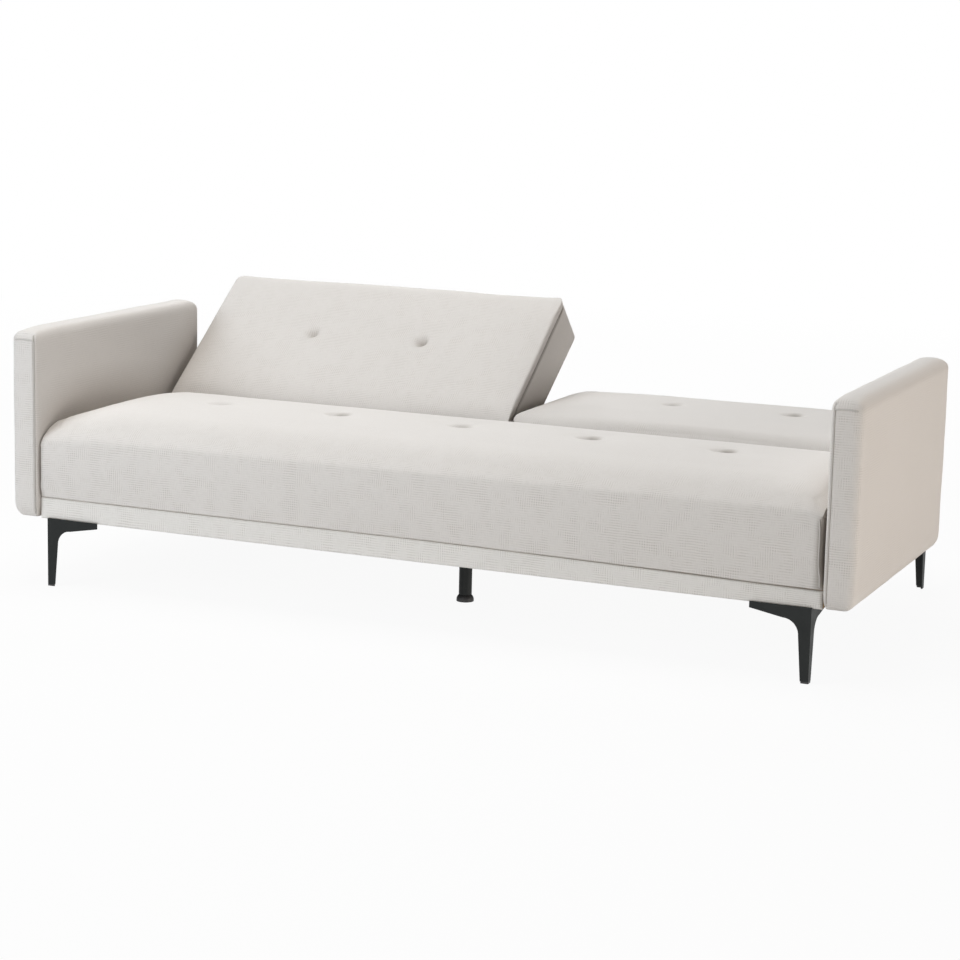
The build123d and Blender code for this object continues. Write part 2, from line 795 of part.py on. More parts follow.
def outer_bracket():
    bracket = standing_plate(bracket_low_x, bracket_high_x)
    bracket += bracket_foot(bracket_high_x - hinge_foot_width, bracket_high_x)
    bracket += prism_x(strap_edges((pawl_pin_y, pawl_pin_z), pawl_boss_radius, (pivot_y, pawl_pin_z),
                                   pawl_boss_radius), bracket_low_x, bracket_high_x)
    bracket -= rod(pawl_pin_radius, (bracket_low_x - cut_overrun, pawl_pin_y, pawl_pin_z),
                   (bracket_high_x + cut_overrun, pawl_pin_y, pawl_pin_z))
    return bracket - hinge_foot_screw_rods(screw_gap)


def centre_bracket():
    bracket = standing_plate(-hinge_plate / 2, hinge_plate / 2)
    bracket += bracket_foot(-hinge_foot_width, hinge_foot_width)
    return bracket - hinge_foot_screw_rods(screw_gap)


def hinge_foot_screw_places():
    reach = hinge_foot_length / 2 - hinge_foot_screw_inset
    outer = bracket_high_x - hinge_foot_width + hinge_foot_screw_inset
    inner = hinge_foot_width - hinge_foot_screw_inset
    return [(x, pivot_y + way * reach) for x in (-outer, -inner, inner, outer) for way in (-1, 1)]


def hinge_foot_screw_rods(grow):
    top = base_top_z + hinge_foot_thickness
    return [rod(hinge_screw_radius + grow, (x, y, top - hinge_screw_length), (x, y, top))
            for x, y in hinge_foot_screw_places()]


def hinge_foot_screws():
    top = base_top_z + hinge_foot_thickness
    return one_node([shank + rod(hinge_screw_head_radius, (x, y, top), (x, y, top + hinge_screw_head_height))
                     for shank, (x, y) in zip(hinge_foot_screw_rods(0), hinge_foot_screw_places())])


def outer_pin():
    shank = rod(pin_radius, (back_outer_x + plate_gap, pivot_y, pivot_z), (bracket_high_x, pivot_y, pivot_z))
    return shank + rod(pin_head_radius, (bracket_high_x, pivot_y, pivot_z),
                       (bracket_high_x + pin_head_height, pivot_y, pivot_z))


def centre_pin():
    end = back_inner_x - plate_gap
    return rod(pin_radius, (-end, pivot_y, pivot_z), (end, pivot_y, pivot_z))


def pawl_side_points():
    """The upper and lower flanks of the pawl, from its boss to its nose."""
    nose_z = pivot_z - tooth_tip_radius - pawl_gap
    run_y, run_z = pivot_y - pawl_pin_y, nose_z - pawl_pin_z
    length = hypot(run_y, run_z)
    side_y, side_z = -pawl_boss_radius * run_z / length, pawl_boss_radius * run_y / length
    nose = pawl_nose_width
    upper = [(pawl_pin_y + side_y, pawl_pin_z + side_z), (pivot_y - nose / 2, nose_z)]
    lower = [(pivot_y + nose / 2, nose_z), (pivot_y + nose, nose_z - nose),
             (pawl_pin_y - side_y, pawl_pin_z - side_z)]
    return upper, lower


def pawl():
    upper, lower = pawl_side_points()
    points = upper + lower + upper[:1]
    centre = (pawl_pin_y, pawl_pin_z)
    lever = prism_x(chain(in_yz, points), pawl_low_x, pawl_high_x)
    lever += rod(pawl_boss_radius, (pawl_low_x, *centre), (pawl_high_x, *centre))
    return lever - rod(pawl_pin_radius + running_gap, (pawl_low_x - cut_overrun, *centre),
                       (pawl_high_x + cut_overrun, *centre))


def pawl_pin():
    head_x = pawl_low_x - running_gap
    centre = (pawl_pin_y, pawl_pin_z)
    shank = rod(pawl_pin_radius, (head_x, *centre), (bracket_high_x, *centre))
    return shank + rod(pawl_pin_head_radius, (head_x - pawl_pin_head_height, *centre), (head_x, *centre))


def pawl_spring():
    """A bent leaf: its foot lies on the bracket's foot and its free end stands under the pawl."""
    foot_z = base_top_z + hinge_foot_thickness
    low_y, high_y = pivot_y - spring_foot_length / 2, pivot_y + spring_foot_length / 2
    start, end = pawl_side_points()[1][1:]
    end_y = start[0] + spring_contact_share * (end[0] - start[0])
    end_z = start[1] + spring_contact_share * (end[1] - start[1]) - 2 * pawl_gap
    bow_y = (low_y + end_y) / 2 - spring_bow_share * (end_z - foot_z)
    bow_z = (foot_z + end_z) / 2
    sheet = spring_sheet
    edges = [ThreePointArc(in_yz(low_y, foot_z), in_yz(bow_y, bow_z), in_yz(end_y, end_z))]
    edges += chain(in_yz, [(end_y, end_z), (end_y + sheet, end_z)])
    edges.append(ThreePointArc(in_yz(end_y + sheet, end_z), in_yz(bow_y + sheet, bow_z),
                               in_yz(low_y + sheet, foot_z + sheet)))
    edges += chain(in_yz, [(low_y + sheet, foot_z + sheet), (high_y, foot_z + sheet), (high_y, foot_z),
                           (low_y, foot_z)])
    return prism_x(edges, back_outer_x + plate_gap, bracket_low_x)


# Both sides and the left half's lounge position

def raised_left(shape):
    hinge_axis = Axis((0, pivot_y, pivot_z), (1, 0, 0))
    return mirrored(shape).rotate(hinge_axis, lounge_angle)


fixed_pairs = {
    "side_rail": side_rail, "arm_cover": arm_cover, "arm_frame": arm_frame, "arm_bolts": arm_bolts,
    "leg_front": corner_leg, "hinge_bracket": outer_bracket, "hinge_pin": outer_pin, "pawl": pawl,
    "pawl_pin": pawl_pin, "pawl_spring": pawl_spring,
}
back_pairs = {
    "back_cover": back_cover, "back_frame": back_frame, "back_webbing": back_webbing,
    "back_foam": back_foam, "back_tuft_ties": lambda: one_node(back_ties(0, 0)),
    "hinge_tail_screws": tail_screws,
    "hinge_plate_outer": lambda: moving_plate(back_outer_x, True),
    "hinge_plate_inner": lambda: moving_plate(back_inner_x - hinge_arm_plate, False),
}
nodes = {
    "front_rail": front_rail(), "rear_rail": rear_rail(), "centre_rail": centre_rail(),
    "cross_rail": cross_rail(), "apron_cover": apron_cover(), "rear_buffers": rear_buffers(),
    "dust_cover": dust_cover(), "leg_screws": at_four_corners(corner_leg_screws()),
    "leg_glides": at_four_corners([corner_glide()]), "centre_leg": centre_leg(),
    "centre_foot": centre_foot(), "seat_cover": seat_cover(), "seat_foam": seat_foam(),
    "seat_webbing": seat_webbing(), "seat_frame": seat_frame(),
    "seat_tuft_ties": one_node(seat_ties(0, 0)), "hinge_bracket_centre": centre_bracket(),
    "hinge_pin_centre": centre_pin(), "hinge_foot_screws": hinge_foot_screws(),
}
for name, make in fixed_pairs.items():
    right = make()
    nodes[name + "_right"] = right
    nodes[name + "_left"] = mirrored(right)
for side in ("right", "left"):
    nodes["leg_rear_" + side] = to_rear(nodes["leg_front_" + side])
for name, make in back_pairs.items():
    flat = make()
    nodes[name + "_right"] = flat
    nodes[name + "_left"] = raised_left(flat)

os.makedirs("parts", exist_ok=True)
for name, shape in nodes.items():
    export_step(shape, os.path.join("parts", name + ".step"))
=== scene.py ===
import json
import math
import bpy
import numpy as np
from mathutils import Matrix, Vector, noise
from mathutils.bvhtree import BVHTree


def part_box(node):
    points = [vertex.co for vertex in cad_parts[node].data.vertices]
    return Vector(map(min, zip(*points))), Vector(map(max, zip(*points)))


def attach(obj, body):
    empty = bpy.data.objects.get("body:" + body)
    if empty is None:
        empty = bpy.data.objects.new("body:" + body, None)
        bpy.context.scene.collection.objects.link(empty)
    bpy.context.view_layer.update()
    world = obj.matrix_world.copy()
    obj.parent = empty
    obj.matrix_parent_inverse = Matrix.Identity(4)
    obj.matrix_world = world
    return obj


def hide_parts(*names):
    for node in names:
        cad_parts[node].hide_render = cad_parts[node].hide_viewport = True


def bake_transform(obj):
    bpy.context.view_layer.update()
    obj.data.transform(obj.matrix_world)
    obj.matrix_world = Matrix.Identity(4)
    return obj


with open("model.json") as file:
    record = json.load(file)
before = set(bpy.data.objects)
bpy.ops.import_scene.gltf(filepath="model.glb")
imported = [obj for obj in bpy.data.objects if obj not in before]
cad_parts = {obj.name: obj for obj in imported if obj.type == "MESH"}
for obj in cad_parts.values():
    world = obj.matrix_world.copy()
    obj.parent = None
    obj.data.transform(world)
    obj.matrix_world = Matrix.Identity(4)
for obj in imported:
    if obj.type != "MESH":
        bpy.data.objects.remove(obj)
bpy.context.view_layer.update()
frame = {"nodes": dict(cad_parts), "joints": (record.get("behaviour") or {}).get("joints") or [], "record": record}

nodes = frame["nodes"]
record = frame["record"]
joints = {j["name"]: j for j in frame["joints"]}

# ---------------------------------------------------------------- camera and light

# Lens, place and turns that put the part's edges where the photograph has them.
LENS_MM, SENSOR_MM = 93.89, 36
CAMERA_PLACE = (2.23628, -5.32772, 1.33645)
YAW, PITCH, ROLL = 0.405923, 0.186082, 0.023158

camera_data = bpy.data.cameras.new("camera")
camera_data.lens = LENS_MM
camera_data.sensor_width = SENSOR_MM
camera_data.clip_start = 0.1
camera_data.clip_end = 300
camera = bpy.data.objects.new("camera", camera_data)
bpy.context.scene.collection.objects.link(camera)
forward = Vector((-math.sin(YAW) * math.cos(PITCH), math.cos(YAW) * math.cos(PITCH), -math.sin(PITCH)))
level = Vector((math.cos(YAW), math.sin(YAW), 0.0))
upward = level.cross(forward)
right = math.cos(ROLL) * level + math.sin(ROLL) * upward
up = -math.sin(ROLL) * level + math.cos(ROLL) * upward
camera.matrix_world = Matrix((
    (right.x, up.x, -forward.x, CAMERA_PLACE[0]),
    (right.y, up.y, -forward.y, CAMERA_PLACE[1]),
    (right.z, up.z, -forward.z, CAMERA_PLACE[2]),
    (0, 0, 0, 1)))
bpy.context.scene.camera = camera
bpy.context.scene.view_settings.view_transform = "Standard"


def lamp(name, place, aim, size, power, tint):
    """A rectangular lamp at place, turned to aim, with its size in metres and its power in watts."""
    data = bpy.data.lights.new(name, "AREA")
    data.shape = "RECTANGLE"
    data.size, data.size_y = size
    data.energy = power
    data.color = tint
    made = bpy.data.objects.new(name, data)
    made.location = place
    made.rotation_euler = (Vector(aim) - Vector(place)).to_track_quat("-Z", "Y").to_euler()
    bpy.context.scene.collection.objects.link(made)


lamp("lamp_key", (-2.7, -3.6, 2.3), (-0.4, 0, 0.3), (2.0, 2.0), 76, (0.88, 0.94, 1.0))
lamp("lamp_top", (-0.5, -0.15, 3.8), (-0.2, -0.2, 0.3), (3.6, 2.2), 98, (1.0, 0.985, 0.955))
lamp("lamp_front", (0.4, -6.0, 0.8), (0, 0, 0.3), (4.0, 1.2), 49, (1.0, 0.93, 0.84))
lamp("lamp_right", (4.4, -0.5, 0.38), (1.0, -0.15, 0.36), (2.2, 0.6), 62, (1.0, 0.91, 0.82))
lamp("lamp_rear", (-1.2, 3.8, 2.6), (0, 0, 0.4), (3.0, 1.6), 74, (0.94, 0.97, 1.0))


def links(tree):
    return tree.nodes, tree.links


def seen_as_white(tree):
    """1 for camera, glossy and transmission rays, and 0 for the rest."""
    n, l = links(tree)
    path = n.new("ShaderNodeLightPath")
    first = n.new("ShaderNodeMath")
    first.operation = "MAXIMUM"
    l.new(path.outputs["Is Camera Ray"], first.inputs[0])
    l.new(path.outputs["Is Glossy Ray"], first.inputs[1])
    both = n.new("ShaderNodeMath")
    both.operation = "MAXIMUM"
    l.new(first.outputs[0], both.inputs[0])
    l.new(path.outputs["Is Transmission Ray"], both.inputs[1])
    return both.outputs[0]


ROOM_GLOW = 0.02
FLOOR_HALF = 90
FLOOR_TONE = 0.86
FLOOR_FADE = (1.2, 6.0)
FLOOR_WHITE = (0.94, 1.0)

# The camera and reflections see plain white all round, and other rays only a faint warm glow.
world = bpy.data.worlds.new("world")
bpy.context.scene.world = world
world.use_nodes = True
n, l = links(world.node_tree)
n.clear()
soft = n.new("ShaderNodeBackground")
soft.inputs["Color"].default_value = (1.0, 0.93, 0.86, 1)
soft.inputs["Strength"].default_value = ROOM_GLOW
plain_white = n.new("ShaderNodeBackground")
plain_white.inputs["Color"].default_value = (1, 1, 1, 1)
plain_white.inputs["Strength"].default_value = 1.0
mix = n.new("ShaderNodeMixShader")
l.new(seen_as_white(world.node_tree), mix.inputs[0])
l.new(soft.outputs[0], mix.inputs[1])
l.new(plain_white.outputs[0], mix.inputs[2])
out = n.new("ShaderNodeOutputWorld")
l.new(mix.outputs[0], out.inputs["Surface"])

# To the camera the floor is nearly white round the part, where shadows fall, and all white further out. To
# other rays it is matte.
floor_mesh = bpy.data.meshes.new("floor")
floor_mesh.from_pydata([(FLOOR_HALF * x, FLOOR_HALF * y, 0) for x, y in ((-1, -1), (1, -1), (1, 1), (-1, 1))],
                       [], [(0, 1, 2, 3)])
floor = bpy.data.objects.new("floor", floor_mesh)
bpy.context.scene.collection.objects.link(floor)
floor_material = bpy.data.materials.new("floor")
floor_material.use_nodes = True
n, l = links(floor_material.node_tree)
n.clear()
matte = n.new("ShaderNodeBsdfDiffuse")
matte.inputs["Color"].default_value = (FLOOR_TONE, FLOOR_TONE, FLOOR_TONE, 1)
glow = n.new("ShaderNodeEmission")
glow.inputs["Color"].default_value = (1, 1, 1, 1)
glow.inputs["Strength"].default_value = 1.0
spot = n.new("ShaderNodeTexCoord")
reach = n.new("ShaderNodeVectorMath")
reach.operation = "LENGTH"
l.new(spot.outputs["Object"], reach.inputs[0])
fade = n.new("ShaderNodeMapRange")
fade.interpolation_type = "SMOOTHSTEP"
fade.inputs["From Min"].default_value, fade.inputs["From Max"].default_value = FLOOR_FADE
fade.inputs["To Min"].default_value, fade.inputs["To Max"].default_value = FLOOR_WHITE
l.new(reach.outputs["Value"], fade.inputs["Value"])
share = n.new("ShaderNodeMath")
share.operation = "MULTIPLY"
l.new(fade.outputs[0], share.inputs[1])
l.new(seen_as_white(floor_material.node_tree), share.inputs[0])
mix = n.new("ShaderNodeMixShader")
l.new(share.outputs[0], mix.inputs[0])
l.new(matte.outputs[0], mix.inputs[1])
l.new(glow.outputs[0], mix.inputs[2])
out = n.new("ShaderNodeOutputMaterial")
l.new(mix.outputs[0], out.inputs["Surface"])
floor_mesh.materials.append(floor_material)


# ---------------------------------------------------------------- materials

class Nodes:
    """Short names for the shader nodes that the materials use."""

    def __init__(self, name):
        self.material = bpy.data.materials.new(name)
        self.material.use_nodes = True
        self.tree = self.material.node_tree
        self.shader = self.tree.nodes["Principled BSDF"]

    def new(self, kind, **values):
        made = self.tree.nodes.new(kind)
        for key, value in values.items():
            setattr(made, key, value)
        return made

    def join(self, source, target):
        self.tree.links.new(source, target)

    def math(self, operation, a, b=None, c=None):
        made = self.new("ShaderNodeMath", operation=operation)
        for socket, value in zip(made.inputs, (a, b, c)):
            if value is None:
                continue
            if isinstance(value, (int, float)):
                socket.default_value = value
            else:
                self.join(value, socket)
        return made.outputs[0]

    def noise(self, place, scale, detail, stretch=None, rough=0.5):
        if stretch:
            mapping = self.new("ShaderNodeMapping")
            mapping.inputs["Scale"].default_value = stretch
            self.join(place, mapping.inputs["Vector"])
            place = mapping.outputs[0]
        made = self.new("ShaderNodeTexNoise")
        made.inputs["Scale"].default_value = scale
        made.inputs["Detail"].default_value = detail
        made.inputs["Roughness"].default_value = rough
        self.join(place, made.inputs["Vector"])
        return made.outputs["Fac"]

    def between(self, value, low, high, to_low=0.0, to_high=1.0):
        made = self.new("ShaderNodeMapRange")
        made.inputs["From Min"].default_value = low
        made.inputs["From Max"].default_value = high
        made.inputs["To Min"].default_value = to_low
        made.inputs["To Max"].default_value = to_high
        self.join(value, made.inputs["Value"])
        return made.outputs[0]

    def colours(self, fac, *stops):
        made = self.new("ShaderNodeValToRGB")
        ramp = made.color_ramp
        while len(ramp.elements) < len(stops):
            ramp.elements.new(0.5)
        for element, (place, colour) in zip(ramp.elements, stops):
            element.position = place
            element.color = (*colour, 1)
        self.join(fac, made.inputs[0])
        return made.outputs[0]

    def mix(self, fac, a, b):
        made = self.new("ShaderNodeMix", data_type="RGBA")
        for socket, value in ((made.inputs[0], fac), (made.inputs[6], a), (made.inputs[7], b)):
            if isinstance(value, (int, float)):
                socket.default_value = value
            elif isinstance(value, tuple):
                socket.default_value = (*value, 1)
            else:
                self.join(value, socket)
        return made.outputs[2]

    def bump(self, height, strength, distance):
        made = self.new("ShaderNodeBump")
        made.inputs["Strength"].default_value = strength
        made.inputs["Distance"].default_value = distance
        self.join(height, made.inputs["Height"])
        self.join(made.outputs[0], self.shader.inputs["Normal"])

    def finish(self, colour, roughness, **fixed):
        self.join(colour, self.shader.inputs["Base Color"])
        if isinstance(roughness, (int, float)):
            self.shader.inputs["Roughness"].default_value = roughness
        else:
            self.join(roughness, self.shader.inputs["Roughness"])
        for key, value in fixed.items():
            self.shader.inputs[key.replace("_", " ")].default_value = value
        return self.material


def tinted(colour, *factors, most=1.0):
    """The colour times one factor, or times one for each channel, with no channel above most."""
    if len(factors) == 1:
        factors = factors * 3
    return tuple(min(most, c * f) for c, f in zip(colour, factors))


THREAD_STRAY = 0.003    # how far a thread strays to the side, in metres
TONE_PIVOT = 0.56       # the tone that the weave fades to
RIBS_LOST = 0.8         # how much of the weave is gone where ribs is 0
# how far ambient occlusion looks for the painted shade of tight corners
SHADE_REACH = 0.11
BUMP_HEIGHT = 0.0011


def linen(name, base, pitch=0.0052, depth=1.0):
    """Coarse basket weave: uneven ribs of warp and weft, each showing more in its own patches. The weave fades
    where the point attribute ribs is low. Painted shade from a point attribute and from ambient occlusion darkens
    the cloth at tufts, seams and in tight corners."""
    m = Nodes(name)
    place = m.new("ShaderNodeUVMap").outputs[0]
    split = m.new("ShaderNodeSeparateXYZ")
    m.join(place, split.inputs[0])
    drift = m.noise(place, 30.0, 2.0)
    turn = 2 * math.pi / pitch
    strayed = m.math("MULTIPLY_ADD", drift, THREAD_STRAY, split.outputs[0])
    warp = m.math("SINE", m.math("MULTIPLY", strayed, turn))
    strayed = m.math("MULTIPLY_ADD", drift, -THREAD_STRAY, split.outputs[1])
    weft = m.math("SINE", m.math("MULTIPLY", strayed, turn))
    plain = m.math("MULTIPLY", m.math("SINE", m.math("MULTIPLY", split.outputs[0], turn * 2)),
                   m.math("SINE", m.math("MULTIPLY", split.outputs[1], turn * 2)))
    along = m.between(m.noise(place, 1.0, 2.0, (30.0, 17.0, 1.0)), 0.47, 0.60)
    beside = m.between(m.noise(place, 1.0, 2.0, (24.0, 30.0, 1.0)), 0.51, 0.62)
    ribs = m.math("ADD", m.math("MULTIPLY", weft, m.math("MULTIPLY_ADD", along, 0.85, 0.15)),
                  m.math("MULTIPLY", warp, m.math("MULTIPLY", beside, 0.9)))
    threads = m.math("ADD", m.noise(place, 1.0, 2.0, (60.0, 480.0, 1.0)),
                     m.noise(place, 1.0, 2.0, (480.0, 60.0, 1.0)))
    fuzz = m.noise(place, 700.0, 3.0)
    soil = m.noise(place, 3.2, 3.0)
    dark = tinted(base, 0.74, 0.725, 0.705)
    light = tinted(base, 1.08, 1.08, 1.075)
    height = m.math("ADD", m.math("MULTIPLY", ribs, 0.32),
                    m.math("ADD", m.math("MULTIPLY", plain, 0.20), m.math("MULTIPLY", threads, 0.42)))
    shown = m.new("ShaderNodeAttribute", attribute_name="ribs").outputs["Fac"]
    shown = m.math("SUBTRACT", 1.0, m.math("MULTIPLY", m.math("SUBTRACT", 1.0, shown), RIBS_LOST))
    tone = m.math("ADD", height, m.math("MULTIPLY", m.math("ADD", fuzz, soil), 0.25))
    # the weave's tone fades on faces not turned to the front: painted light, as the light showed the weave only
    # there; its fade in the bump below is not painted
    tone = m.math("MULTIPLY_ADD", m.math("SUBTRACT", tone, TONE_PIVOT), shown, TONE_PIVOT)
    colour = m.colours(m.between(tone, 0.0, 1.35), (0.0, dark), (0.5, base), (1.0, light))
    # painted shade at tufts, seams and welts, from a point attribute of the mesh
    painted_shade_share = m.new("ShaderNodeAttribute", attribute_name="painted_shade").outputs["Fac"]
    colour = m.mix(painted_shade_share, colour, tinted(base, 0.36, 0.33, 0.30))
    # painted shade in tight corners, from ambient occlusion
    painted_corner_shade = m.new("ShaderNodeAmbientOcclusion", samples=6)
    painted_corner_shade.inputs["Distance"].default_value = SHADE_REACH
    painted_corner_shade = m.between(painted_corner_shade.outputs["AO"], 0.25, 0.95, 0.70, 0.0)
    colour = m.mix(painted_corner_shade, colour, tinted(base, 0.50, 0.46, 0.42))
    fuzzy = m.math("ADD", height, m.math("MULTIPLY", fuzz, 0.3))
    m.bump(m.math("MULTIPLY", fuzzy, shown), 0.5 * depth, BUMP_HEIGHT)
    rough = m.between(fuzz, 0.3, 0.7, 0.86, 0.97)
    return m.finish(colour, rough, Sheen_Weight=0.12, Sheen_Roughness=0.5,
                    Sheen_Tint=(1.0, 0.98, 0.95, 1), Specular_IOR_Level=0.2)


def plain_metal(name, base, rough, metallic, grain=260.0, wear=None, bump=0.12, gloss=0.5):
    """Plated, powder-coated or moulded: fine grain over slow clouds, with rubbed spots in the colour wear."""
    m = Nodes(name)
    place = m.new("ShaderNodeTexCoord").outputs["Object"]
    fine = m.noise(place, grain * 3, 3.0)
    cloud = m.noise(place, 14.0, 4.0, None, 0.6)
    lifted = tuple(min(1.0, c * 1.3 + 0.002) for c in base)
    colour = m.colours(m.between(cloud, 0.32, 0.68), (0.0, base), (1.0, lifted))
    if wear:
        rub = m.between(m.noise(place, 60.0, 5.0, (1.0, 1.0, 0.25), 0.7), 0.66, 0.74)
        colour = m.mix(m.math("MULTIPLY", rub, 0.35), colour, wear)
    m.bump(m.math("ADD", fine, m.math("MULTIPLY", cloud, 0.6)), bump, 0.0004)
    uneven = m.between(m.noise(place, 35.0, 4.0), 0.3, 0.7, rough - 0.06, rough + 0.08)
    return m.finish(colour, uneven, Metallic=metallic, Specular_IOR_Level=gloss)


def timber(name):
    """Sawn timber with its grain along x."""
    m = Nodes(name)
    place = m.new("ShaderNodeTexCoord").outputs["Object"]
    wobble = m.noise(place, 3.0, 3.0)
    rings = m.new("ShaderNodeTexWave", wave_type="BANDS", bands_direction="Z")
    rings.inputs["Scale"].default_value = 22.0
    rings.inputs["Distortion"].default_value = 2.5
    rings.inputs["Detail"].default_value = 3.0
    rings.inputs["Detail Scale"].default_value = 1.4
    mapping = m.new("ShaderNodeMapping")
    mapping.inputs["Scale"].default_value = (0.22, 1.0, 1.0)
    m.join(place, mapping.inputs["Vector"])
    m.join(mapping.outputs[0], rings.inputs["Vector"])
    pores = m.noise(place, 60.0, 4.0, (0.12, 1.0, 1.0), 0.65)
    grain = m.math("ADD", m.math("MULTIPLY", rings.outputs["Fac"], 0.55), m.math("MULTIPLY", pores, 0.5))
    colour = m.colours(m.between(grain, 0.2, 0.9), (0.0, (0.30, 0.17, 0.075)),
                       (0.5, (0.48, 0.31, 0.155)), (1.0, (0.62, 0.44, 0.25)))
    m.bump(m.math("ADD", pores, m.math("MULTIPLY", wobble, 0.2)), 0.3, 0.0006)
    return m.finish(colour, m.between(pores, 0.3, 0.7, 0.55, 0.75))


BAND_TURN = 2600.0


def woven_band(name, base, stripe):
    """Even plain weave of two tones: webbing and twine."""
    m = Nodes(name)
    place = m.new("ShaderNodeTexCoord").outputs["Object"]
    split = m.new("ShaderNodeSeparateXYZ")
    m.join(place, split.inputs[0])
    rows = m.math("SINE", m.math("MULTIPLY", split.outputs[0], BAND_TURN))
    cols = m.math("SINE", m.math("MULTIPLY", split.outputs[1], BAND_TURN))
    weave = m.math("MULTIPLY", rows, cols)
    colour = m.mix(m.between(weave, -1.0, 1.0, 0.0, 0.8), base, stripe)
    m.bump(weave, 0.4, 0.0006)
    return m.finish(colour, 0.7, Sheen_Weight=0.1)


def cellular(name, base, dark, scale, rough, bump):
    """Open cells or pores: foam, felt and moulded rubber."""
    m = Nodes(name)
    place = m.new("ShaderNodeTexCoord").outputs["Object"]
    cells = m.new("ShaderNodeTexVoronoi")
    cells.inputs["Scale"].default_value = scale
    m.join(place, cells.inputs["Vector"])
    cloud = m.noise(place, scale * 0.12, 4.0)
    colour = m.mix(m.between(cells.outputs["Distance"], 0.1, 0.7), dark, base)
    colour = m.mix(m.between(cloud, 0.3, 0.7, 0.0, 0.25), colour, dark)
    m.bump(cells.outputs["Distance"], bump, 0.0008)
    return m.finish(colour, rough)


LINEN = (0.815, 0.788, 0.765)
cloth = linen("linen", LINEN)
# The backs' cloth is a darker copy of the linen: painted shade, for the weaker light that falls on the backs.
cloth_back_shaded = linen("linen_back", tinted(LINEN, 0.935))
# The cords' cloth is a darker copy of the linen: painted shade of the seams they sit in.
cloth_welt_shaded = linen("linen_welt_painted_shade", tinted(LINEN, 0.80), pitch=0.0022, depth=0.7)
finishes = {
    "cloth": cloth,
    "timber": timber("birch"),
    "steel": plain_metal("zinc_plated_steel", (0.50, 0.50, 0.49), 0.34, 1.0, 320.0),
    "black_metal": plain_metal("black_powder_coat", (0.009, 0.011, 0.011), 0.52, 0.0, 420.0,
                               wear=(0.03, 0.032, 0.033), bump=0.2, gloss=0.25),
    "glide_plastic": plain_metal("glide_plastic", (0.03, 0.03, 0.032), 0.55, 0.0),
    "buffer_rubber": cellular("buffer_rubber", (0.035, 0.034, 0.033), (0.015, 0.015, 0.015), 700, 0.8, 0.1),
    "black_felt": cellular("black_felt", (0.028, 0.028, 0.030), (0.010, 0.010, 0.011), 900, 0.95, 0.5),
    "foam": cellular("foam", (0.80, 0.74, 0.52), (0.55, 0.49, 0.30), 420, 0.95, 0.6),
    "webbing": woven_band("webbing", (0.05, 0.05, 0.052), (0.30, 0.31, 0.30)),
    "twine": woven_band("twine", (0.62, 0.57, 0.46), (0.80, 0.76, 0.66)),
}
for part in record["subparts"]:
    node = nodes[part["node"]]
    finish = finishes[part["material_slot"]]
    if not node.material_slots:
        node.data.materials.append(finish)
    for place in node.material_slots:
        place.material = finish


# ---------------------------------------------------------------- upholstery

GROWTH = 0.22           # how fast the cells grow away from a fine place


def steps(low, high, cell, *fine):
    """Places from low to high a cell apart, closer together round each place that has a fine cell."""
    def size_at(place):
        return min([cell] + [small + abs(place - middle) * GROWTH for middle, small in fine])
    places = [low]
    while places[-1] < high:
        size = size_at(places[-1])
        places.append(places[-1] + size_at(places[-1] + size / 2))
    places = np.array(places)
    return low + (places - low) * (high - low) / (places[-1] - low)


CAST_FROM = 0.6


